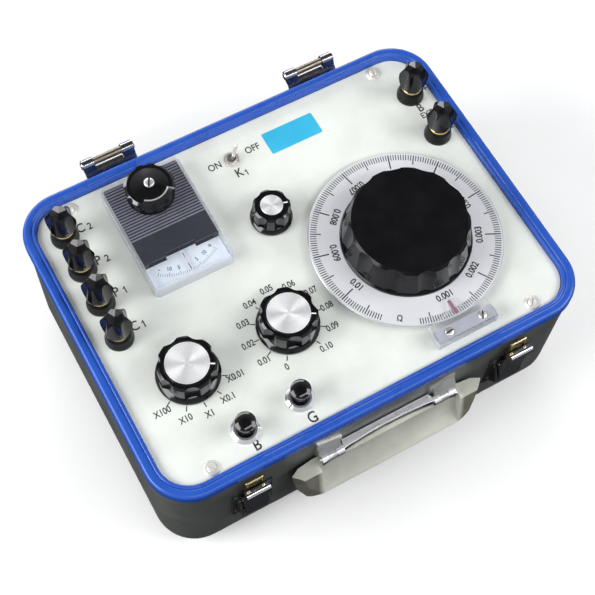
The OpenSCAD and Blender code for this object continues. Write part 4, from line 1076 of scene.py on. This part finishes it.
# %% Print the dial
DIAL_TOP = top("main_dial")
PER_STEP = 1.6
STEPS_BEFORE, STEPS_AFTER, STEPS_A_NUMBER = 14, 196, 20
FIRST_ANGLE = -90.0
TICK_END_MM, NUMBERS_MM = 61.3, 47.2
SIGN_MM, SIGN_ANGLE = 57.8, -125
# Every so many steps: where the line starts and how wide it is, in mm
DIAL_TICKS = ((STEPS_A_NUMBER, 51.0, 0.85), (10, 54.2, 0.70), (1, 57.2, 0.60))

marks = []
for step in range(-STEPS_BEFORE, STEPS_AFTER + 1):
    inner, wide = next((start, width) for every, start, width in DIAL_TICKS if step % every == 0)
    marks.append(ray(DIAL, inner, TICK_END_MM, FIRST_ANGLE + step * PER_STEP, DIAL_TOP, wide))
for number in range(1, 11):
    angle = FIRST_ANGLE + (number - 1) * STEPS_A_NUMBER * PER_STEP
    label = "0.01" if number == 10 else "0.00%d" % number
    marks.append(word(label, 4.4, round_place(DIAL, NUMBERS_MM, angle, DIAL_TOP), angle + 90, bold=0.15))
sign_place = round_place(DIAL, SIGN_MM, SIGN_ANGLE, DIAL_TOP)
marks.append(word("Ω", 4.0, sign_place, SIGN_ANGLE + 90, bold=0.14))
join(marks, "dial_scale", "ink_black", "slide_dial")

# %% [markdown]
# ## The scales on the panel
#
# Round the step knob stand eleven ticks, thirty degrees apart, numbered from nought to a tenth.
# Round the multiplier stand five. The words all read the same way up as the panel, so only the
# ticks turn. The longest words sit further out, to leave their ticks free.

# %% Print the scales
CLICK = 30
TICK_START_MM = 20.4
STEP_WORDS = ["0"] + ["0.0%d" % k for k in range(1, 10)] + ["0.10"]
MULT_WORDS = ["X0.01", "X0.1", "X1", "X10", "X100"]

# Middle, first angle in degrees, words, and the radii of the ticks' ends and of the words in mm
SCALES = ((STEP, -120, STEP_WORDS, 23.6, 27.8), (MULT, -30, MULT_WORDS, 23.8, 28.6))

panel_ink = []
for centre, first, labels, tick_end, words_mm in SCALES:
    for clicks, label in enumerate(labels):
        angle = first - CLICK * clicks
        panel_ink.append(ray(centre, TICK_START_MM, tick_end, angle, PANEL_Z, 0.70))
        panel_ink.append(word(label, 4.3, round_place(centre, words_mm, angle, PANEL_Z), 0, 0.80, 0.12))
print("pieces of ink so far:", len(panel_ink))

# %% [markdown]
# ## The words on the panel
#
# Each binding post, key and switch has its letters beside it, at places that the draughtsman
# measured from the middle of the case. The built-in font almost leaves out the slanting stroke
# of a figure 1, so that is added. The signs by the two outer posts are plain lines.

# %% Print the words
# Letter, number and the letter's place in x and y, in mm
POSTS = (
    ("C", "2", -113.3, 83.0), ("P", "2", -113.4, 56.9),
    ("P", "1", -113.0, 31.5), ("C", "1", -113.0, 5.0),
)
# Word, height, place in x and y, and boldness, all in mm
WORDS = (
    ("ON", 4.9, -16.4, 83.3, 0.11), ("OFF", 4.9, 12.0, 84.2, 0.11),
    ("K", 6.3, -4.4, 71.8, 0.11), ("1", 4.3, 0.4, 69.8, 0.11),
    ("B", 6.1, 127.7, 59.2, 0.11), ("EXT", 4.3, 129.4, 52.9, 0.11),
    ("B", 7.0, -83.2, -98.8, 0.12), ("G", 7.0, -45.6, -99.4, 0.12),
)
# The plus sign's two strokes and the minus sign, each from x and y to x and y in mm
STROKES = ((137.2, 71.5, 140.6, 71.5), (138.9, 69.7, 138.9, 73.3), (137.2, 36.0, 140.6, 36.0))
STROKE_MM = 0.6


def print_word(text, height, x, y, bold):
    panel_ink.append(word(text, height, at(x, y), bold=bold))
    if text == "1":
        tip = at(x + 0.04 * height, y + 0.46 * height)
        panel_ink.append(line(tip, tip + Vector((-0.30, -0.24, 0)) * height * MM, STROKE_MM))


for letter, number, x, y in POSTS:
    print_word(letter, 6.5, x, y, 0.12)
    print_word(number, 5.0, x + 5.9, y - 1.2, 0.12)
for entry in WORDS:
    print_word(*entry)
for x1, y1, x2, y2 in STROKES:
    panel_ink.append(line(at(x1, y1), at(x2, y2), STROKE_MM))
join(panel_ink, "panel_lettering", "ink_black", "instrument")

# %% [markdown]
# ## A bare plate
#
# A small blue plate lies near the top of the panel, beside the switch. It is thin aluminium with
# rounded corners, painted and blank.

# %% Blank plate
PLATE_MM = (38.0, 17.0, 0.15)
plate_place = at(41.0, 82.5, PLATE_MM[2] / 2)
plate_mesh = block("blank_plate", [v * MM for v in PLATE_MM], plate_place, corner=0.6 * MM)
dress(show("blank_plate", plate_mesh), "plate_blue", "instrument")

# %% [markdown]
# ## Pointer lines on the knobs
#
# Each knob points with one white line that starts at the disc and runs down over the skirt. The
# line is cut into the top of a lobe, so here it is made of two strips, one on the body's top and
# one on the skirt.

# %% Knob pointers
POINTER_MM, SKIRT_STRIP_MM = 0.9, 1.2


def pointer_line(label, body, angle, start, end, skirt_end, drop):
    """Two strips that point away from a disc. Radii and the drop to the skirt are in mm."""
    disc = label + "_cap"
    z = top(disc) + 0.02 * MM
    strips = [
        ray(middle(disc), start, end, angle, z, POINTER_MM),
        ray(middle(disc), skirt_end - SKIRT_STRIP_MM, skirt_end, angle, z - drop * MM, POINTER_MM),
    ]
    join(strips, label + "_pointer", "ink_white", body)


pointer_line("step", "step_selector", -30, 13.5, 16.7, 20.1, 15.9)
pointer_line("mult", "multiplier", -30, 13.5, 16.7, 20.1, 15.9)
pointer_line("sens", "sensitivity", -17, 7.5, 10.4, 13.7, 13.9)

# %% [markdown]
# ## The meter's scale
#
# Behind the window a white plate carries an arc of fine ticks, with 10 5 5 10 along it and a
# sign at each end. The ticks fan out from the needle's pivot, so they are placed by angle round
# the pointer's own hub.

# %% Print the meter
HUB = Vector((middle("meter_pointer").x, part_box("meter_pointer")[1].y - 5.0 * MM, 0))
SCALE_Z = top("meter_scale")
DIVISION, DIVISIONS = 2.25, 15
LONG_TICK_MM, SHORT_TICK_MM, ARC_MM = 34.6, 35.6, 37.4
FIGURES_MM, PLUS_MM = 32.0, 32.4

fine = []
for tick in range(-DIVISIONS, DIVISIONS + 1):
    inner = LONG_TICK_MM if tick % 5 == 0 else SHORT_TICK_MM
    fine.append(ray(HUB, inner, ARC_MM, -90 + tick * DIVISION, SCALE_Z, 0.30))
for tick in (-10, -5, 5, 10):
    angle = -90 + tick * DIVISION
    place = round_place(HUB, FIGURES_MM, angle, SCALE_Z)
    fine.append(word(str(abs(tick)), 2.7, place, angle + 90, bold=0.10))
for sign, side in (("-", -1), ("+", 1)):
    place = round_place(HUB, PLUS_MM, -90 + side * DIVISIONS * DIVISION, SCALE_Z)
    fine.append(word(sign, 3.4, place, side * 30, bold=0.12))
join(fine, "meter_marks", "ink_grey", "instrument")

# %% [markdown]
# ## The shape of a screw head
#
# A screw head is a low dome with a slot milled across it. The dome is a profile spun round the
# axis, and the slot is a real cut: a narrow box is taken away from it. The edges of the slot stay
# sharp and the dome is shaded smooth, so even a head five pixels wide catches the light rightly.

# %% Screw head tools
SLOT, SEGMENTS = 0.34, 48
DOME = ((1.0, 0.0), (1.0, 0.30), (0.96, 0.48), (0.84, 0.70), (0.62, 0.88), (0.32, 0.97))


def spun(name, profile, radius, height):
    """A closed solid made by spinning a profile of (share of radius, share of height)."""
    work = bmesh.new()
    rings = []
    turns = [2 * math.pi * k / SEGMENTS for k in range(SEGMENTS)]
    for out, up in profile:
        ring = [(math.cos(a) * radius * out, math.sin(a) * radius * out, height * up) for a in turns]
        rings.append([work.verts.new(point) for point in ring])
    for low, high in zip(rings, rings[1:]):
        for here in range(SEGMENTS):
            after = (here + 1) % SEGMENTS
            work.faces.new((low[here], low[after], high[after], high[here]))
    work.faces.new(rings[0][::-1])
    work.faces.new(rings[-1])
    return mesh_from(work, name)


def cut(mesh, tool, name):
    """The first mesh with the second taken away."""
    whole, knife = show(name, mesh), show("knife", tool)
    modifier = whole.modifiers.new("slot", "BOOLEAN")
    modifier.operation = "DIFFERENCE"
    modifier.solver = "EXACT"
    modifier.object = knife
    result = as_mesh(whole, name)
    bpy.data.objects.remove(knife)
    return result


def smooth(mesh, degrees):
    """Shades a mesh smooth but for edges sharper than an angle."""
    mesh.shade_smooth()
    mesh.set_sharp_from_angle(angle=math.radians(degrees))


print("a slot is", SLOT, "of a head's radius")

# %% [markdown]
# ## Small screws
#
# Two screws hold the cursor and one holds the zero knob. Each stands as the screwdriver left it, with its own
# turn. The walls and the floor of the slot are painted black, a painted shade, because no light gets there.

# %% Screws
# Radius and height of a head, and how far the cursor's screws stand from its middle
CURSOR_HEAD_MM, ZERO_HEAD_MM, CURSOR_SCREW_MM = (2.9, 1.5), (3.4, 1.3), 12
SIDES = (("left", -1), ("right", 1))


def screw(name, place, head, turn, body):
    """A slotted dome head that sits on place, its slot turned by turn degrees from +X."""
    radius, height = (v * MM for v in head)
    groove = block("groove", (radius * 2.2, radius * SLOT, height), (0, 0, height * 0.95))
    obj = cut(spun(name, DOME, radius, height), groove, name)
    dress(obj, "screw_steel", body)
    obj.data.materials.append(MATERIALS["latch_black"])
    smooth(obj.data, 35)
    # Faces inside the slot get the black finish, a painted shade
    for face in obj.data.polygons:
        inside = abs(face.center.y) <= radius * SLOT * 0.51 and 0.1 * height < face.center.z < 0.97 * height
        face.material_index = 1 if inside and (abs(face.normal.y) > 0.95 or face.normal.z > 0.999) else 0
    obj.data.transform(Matrix.Translation(place) @ Matrix.Rotation(math.radians(turn), 4, "Z"))


strip = middle("cursor_strip")
for (label, side), turn in zip(SIDES, (8, 62)):
    place = Vector((strip.x + side * CURSOR_SCREW_MM * MM, strip.y - 0.1 * MM, top("cursor_strip")))
    screw("cursor_screw_" + label, place, CURSOR_HEAD_MM, turn, "instrument")
knob_middle = Vector((ZERO.x, ZERO.y, top("zero_knob") - 0.02 * MM))
screw("zero_screw", knob_middle, ZERO_HEAD_MM, 62, "zero_adjuster")

# %% [markdown]
# ## The hinge pins' sleeves and painted shade plates
#
# Some small forms are too fine for the frame. The bare middle of each hinge pin carries a thicker sleeve, and
# a dark plate fills the gap between it and the leaf, a painted shade where that gap lies in shadow. A round
# bar through points is a curve with a bevel, turned into a mesh.

# %% Sleeves and shade plates
def tube(name, points, radius):
    """A round bar through the points."""
    curve = bpy.data.curves.new(name, "CURVE")
    curve.dimensions = "3D"
    curve.bevel_depth = radius
    curve.bevel_resolution = 3
    curve.use_fill_caps = True
    spline = curve.splines.new("POLY")
    spline.points.add(len(points) - 1)
    for point, place in zip(spline.points, points):
        point.co = (place.x, place.y, place.z, 1.0)
    made = as_mesh(show(name, curve), name)
    smooth(made.data, 50)
    return made


PINS = middle("hinge_pins")
PIN_HALF_MM, SLEEVE_HALF_MM, SLEEVE_R_MM = 18.8, 9.7, 2.5
SHADE_PLATE_MM = (19.6, 3.5, 0.8)
SHADE_PLATE_BEHIND_MM, SHADE_PLATE_BELOW_MM = 2.95, 4.6
pin_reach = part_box("hinge_pins")[1].x - CASE.x - PIN_HALF_MM * MM

for label, side in SIDES:
    pin_x = CASE.x + side * pin_reach
    ends = [Vector((pin_x + end * SLEEVE_HALF_MM * MM, PINS.y, PINS.z)) for end in (-1, 1)]
    sleeve = tube("pin_sleeve_" + label, ends, SLEEVE_R_MM * MM)
    dress(sleeve, "shaft_steel", "instrument")
# A black plate in the gap behind each pin, a painted shade
for label, side in SIDES:
    place = Vector((
        CASE.x + side * pin_reach, PINS.y - SHADE_PLATE_BEHIND_MM * MM, top("rim_frame") - SHADE_PLATE_BELOW_MM * MM))
    shade_plate = block("hinge_shade_plate_" + label, [v * MM for v in SHADE_PLATE_MM], place)
    dress(show("hinge_shade_plate_" + label, shade_plate), "latch_black", "instrument")

# %% [markdown]
# ## The strap's edge
#
# The handle's strap is pressed from sheet and bent over like a low arch. A rounded lip follows
# its bowed outer edge, and a narrow flange looks out toward the wall. The bow is an arc of a
# circle through the strap's ends, and its radius follows from how deep it sags.

# %% Lip and flange
STRAP_LOW, STRAP_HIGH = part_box("handle_strap")
# In mm: the eye at each end, the width at the waist, and the inner edge's way from the front
EYE_MM, WAIST_MM, INNER_MM = 15.6, 2.4, 6.4
# In mm: the arch's radius and its crest's way from the front
ARCH_MM, CREST_MM = 9.0, 4.2
LIP_R_MM, LIP_STEPS = 0.55, 48
FLANGE_DEEP_MM, FLANGE_THICK_MM = 1.8, 0.8
half = STRAP_HIGH.x - CASE.x
inner = STRAP_LOW.y + INNER_MM * MM
waist = inner - WAIST_MM * MM
sag = waist - STRAP_LOW.y
bow = (half * half + sag * sag) / (2 * sag)
arch_y, arch_z = STRAP_LOW.y + CREST_MM * MM, STRAP_HIGH.z - (ARCH_MM + 0.3) * MM


def on_arch(y):
    """How high the strap's bent top is at a y."""
    return arch_z + math.sqrt((ARCH_MM * MM) ** 2 - (y - arch_y) ** 2)


lip = []
for step in range(LIP_STEPS + 1):
    x = (2 * step / LIP_STEPS - 1) * (half - 1.0 * MM)
    y = waist - bow + math.sqrt(bow * bow - x * x) + 0.40 * MM
    lip.append(Vector((CASE.x + x, y, on_arch(y) - 0.30 * MM)))
dress(tube("strap_lip", lip, LIP_R_MM * MM), "strap_chrome", "handle")

flange_size = (2 * (half - (EYE_MM + 1.2) * MM), FLANGE_DEEP_MM * MM, FLANGE_THICK_MM * MM)
flange_y = inner + 0.7 * MM
flange = block("strap_flange", flange_size, Vector((CASE.x, flange_y, on_arch(flange_y) - 0.45 * MM)))
dress(show("strap_flange", flange), "strap_chrome", "handle")

# %% [markdown]
# ## The cursor's hairline
#
# A red line is scribed on the underside of the acrylic tongue, right over the dial, so that it
# reads without parallax.

# %% Hairline
tongue_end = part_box("cursor_plate")[1].y
HAIR_MM, HAIR_FROM_MM, HAIR_TO_MM = 2.0, 1.0, 10.8
hair_top = DIAL_TOP + 0.55 * MM
hair = [Vector((DIAL.x, tongue_end - behind * MM, hair_top)) for behind in (HAIR_FROM_MM, HAIR_TO_MM)]
join([line(*hair, HAIR_MM)], "hairline", "ink_red", "instrument")

# %% [markdown]
# ## The camera
#
# The photograph was taken from above and to the left, with a long lens, over a white table. The
# camera stands where the picture's perspective says it stood. Its three directions were found by
# matching known points of the case with the picture.

# %% Camera
RIGHT = Vector((0.8727, -0.4872, 0.0321))
UP = Vector((0.4283, 0.7955, 0.4287))
BACK = Vector((-0.2344, -0.3603, 0.9029))
CAMERA_MM = (-199.9, -309.84, 712.7)
LENS_MM = 76.2

camera_data = bpy.data.cameras.new("camera")
camera_data.sensor_width = 36.0
camera_data.lens = LENS_MM
camera_data.clip_start = 0.05
camera_data.clip_end = 20.0
camera = show("camera", camera_data)
camera.matrix_world = Matrix.Translation(at(*CAMERA_MM)) @ Matrix((RIGHT, UP, BACK)).transposed().to_4x4()
bpy.context.scene.camera = camera
print("camera at", [round(v, 3) for v in camera.matrix_world.translation])

# %% [markdown]
# ## Light
#
# The light is soft and comes from nearly everywhere. Four area lights draw the pale streaks on
# the black parts, because their shape is reflected: a broad one at the left, one at the right, a
# long low one behind, and a thin one in front for the crescent on the zero knob. A studio's walls
# are pale and its ceiling is dark, and that dark ceiling is what the flat tops of the knobs
# mirror, so the surroundings fade from pale at the horizon to dark overhead.

# %% Surroundings and lights
HORIZON, OVERHEAD = 0.60, 0.05
AIM = Vector((0.0, 0.0, 0.1))
# Name, place, width and height in metres, and watts
LIGHTS = (
    ("left", (-1.10, 0.12, 0.76), (0.95, 0.70), 17.8),
    ("right", (0.86, -0.55, 0.90), (0.80, 0.56), 10.0),
    ("rear", (0.12, 1.25, 0.46), (2.00, 0.40), 14.0),
    ("front", (0.02, -0.65, 1.00), (1.00, 0.15), 3.6),
)


def area_light(name, place, size, power):
    data = bpy.data.lights.new(name, "AREA")
    data.shape = "RECTANGLE"
    data.size, data.size_y = size
    data.energy = power
    obj = show(name, data)
    obj.location = place
    obj.rotation_mode = "QUATERNION"
    obj.rotation_quaternion = (AIM - Vector(place)).to_track_quat("-Z", "Y")


for light in LIGHTS:
    area_light(*light)

world = bpy.data.worlds.new("studio")
bpy.context.scene.world = world
world.use_nodes = True
sky = world.node_tree
background = sky.nodes["Background"]
height = split(sky, add(sky, "ShaderNodeTexCoord").outputs["Generated"])["Z"]
put(sky, background.inputs["Strength"], remap(sky, height, 0.30, 0.88, HORIZON, OVERHEAD))
background.inputs["Color"].default_value = (0.94, 0.96, 1.0, 1.0)

# %% [markdown]
# ## Floor
#
# The floor is plain and pale. Seen in the dark parts it would be a glaring white, so reflections
# and stray light meet a dark cloth just below it instead, which the camera doesn't see.

# %% Floor
GROUND_HALF, CLOTH_DROP_MM = 3.0, 0.5


def ground(name, material, unseen):
    """A wide flat sheet, hidden from the kinds of ray that are named."""
    work = bmesh.new()
    bmesh.ops.create_grid(work, x_segments=1, y_segments=1, size=GROUND_HALF)
    obj = show(name, mesh_from(work, name))
    obj.data.materials.append(MATERIALS[material])
    for kind in unseen:
        setattr(obj, "visible_" + kind, False)
    return obj


tree, shader, grain, _, _ = begin("floor_paper", {"scale": 400.0, "smudge_scale": 6.0})
paper = mix_colour(tree, grain["Smudge"], (0.86, 0.86, 0.86), (0.89, 0.89, 0.89))
set_finish(tree, shader, paper, remap(tree, grain["Fine"], 0.0, 1.0, 0.55, 0.65))
floor = ground("floor", "floor_paper", ("glossy", "diffuse"))

paint("dark_cloth", (0.05, 0.05, 0.055), (0.06, 0.06, 0.06), 0.7, 500.0, 0.05, wear=0.0, dust=0.0)
card = ground("dark_ground", "dark_cloth", ("camera", "shadow", "transmission"))
card.location.z = -CLOTH_DROP_MM * MM
bpy.context.scene.view_settings.view_transform = "Standard"
print("grounds:", floor.name, card.name)
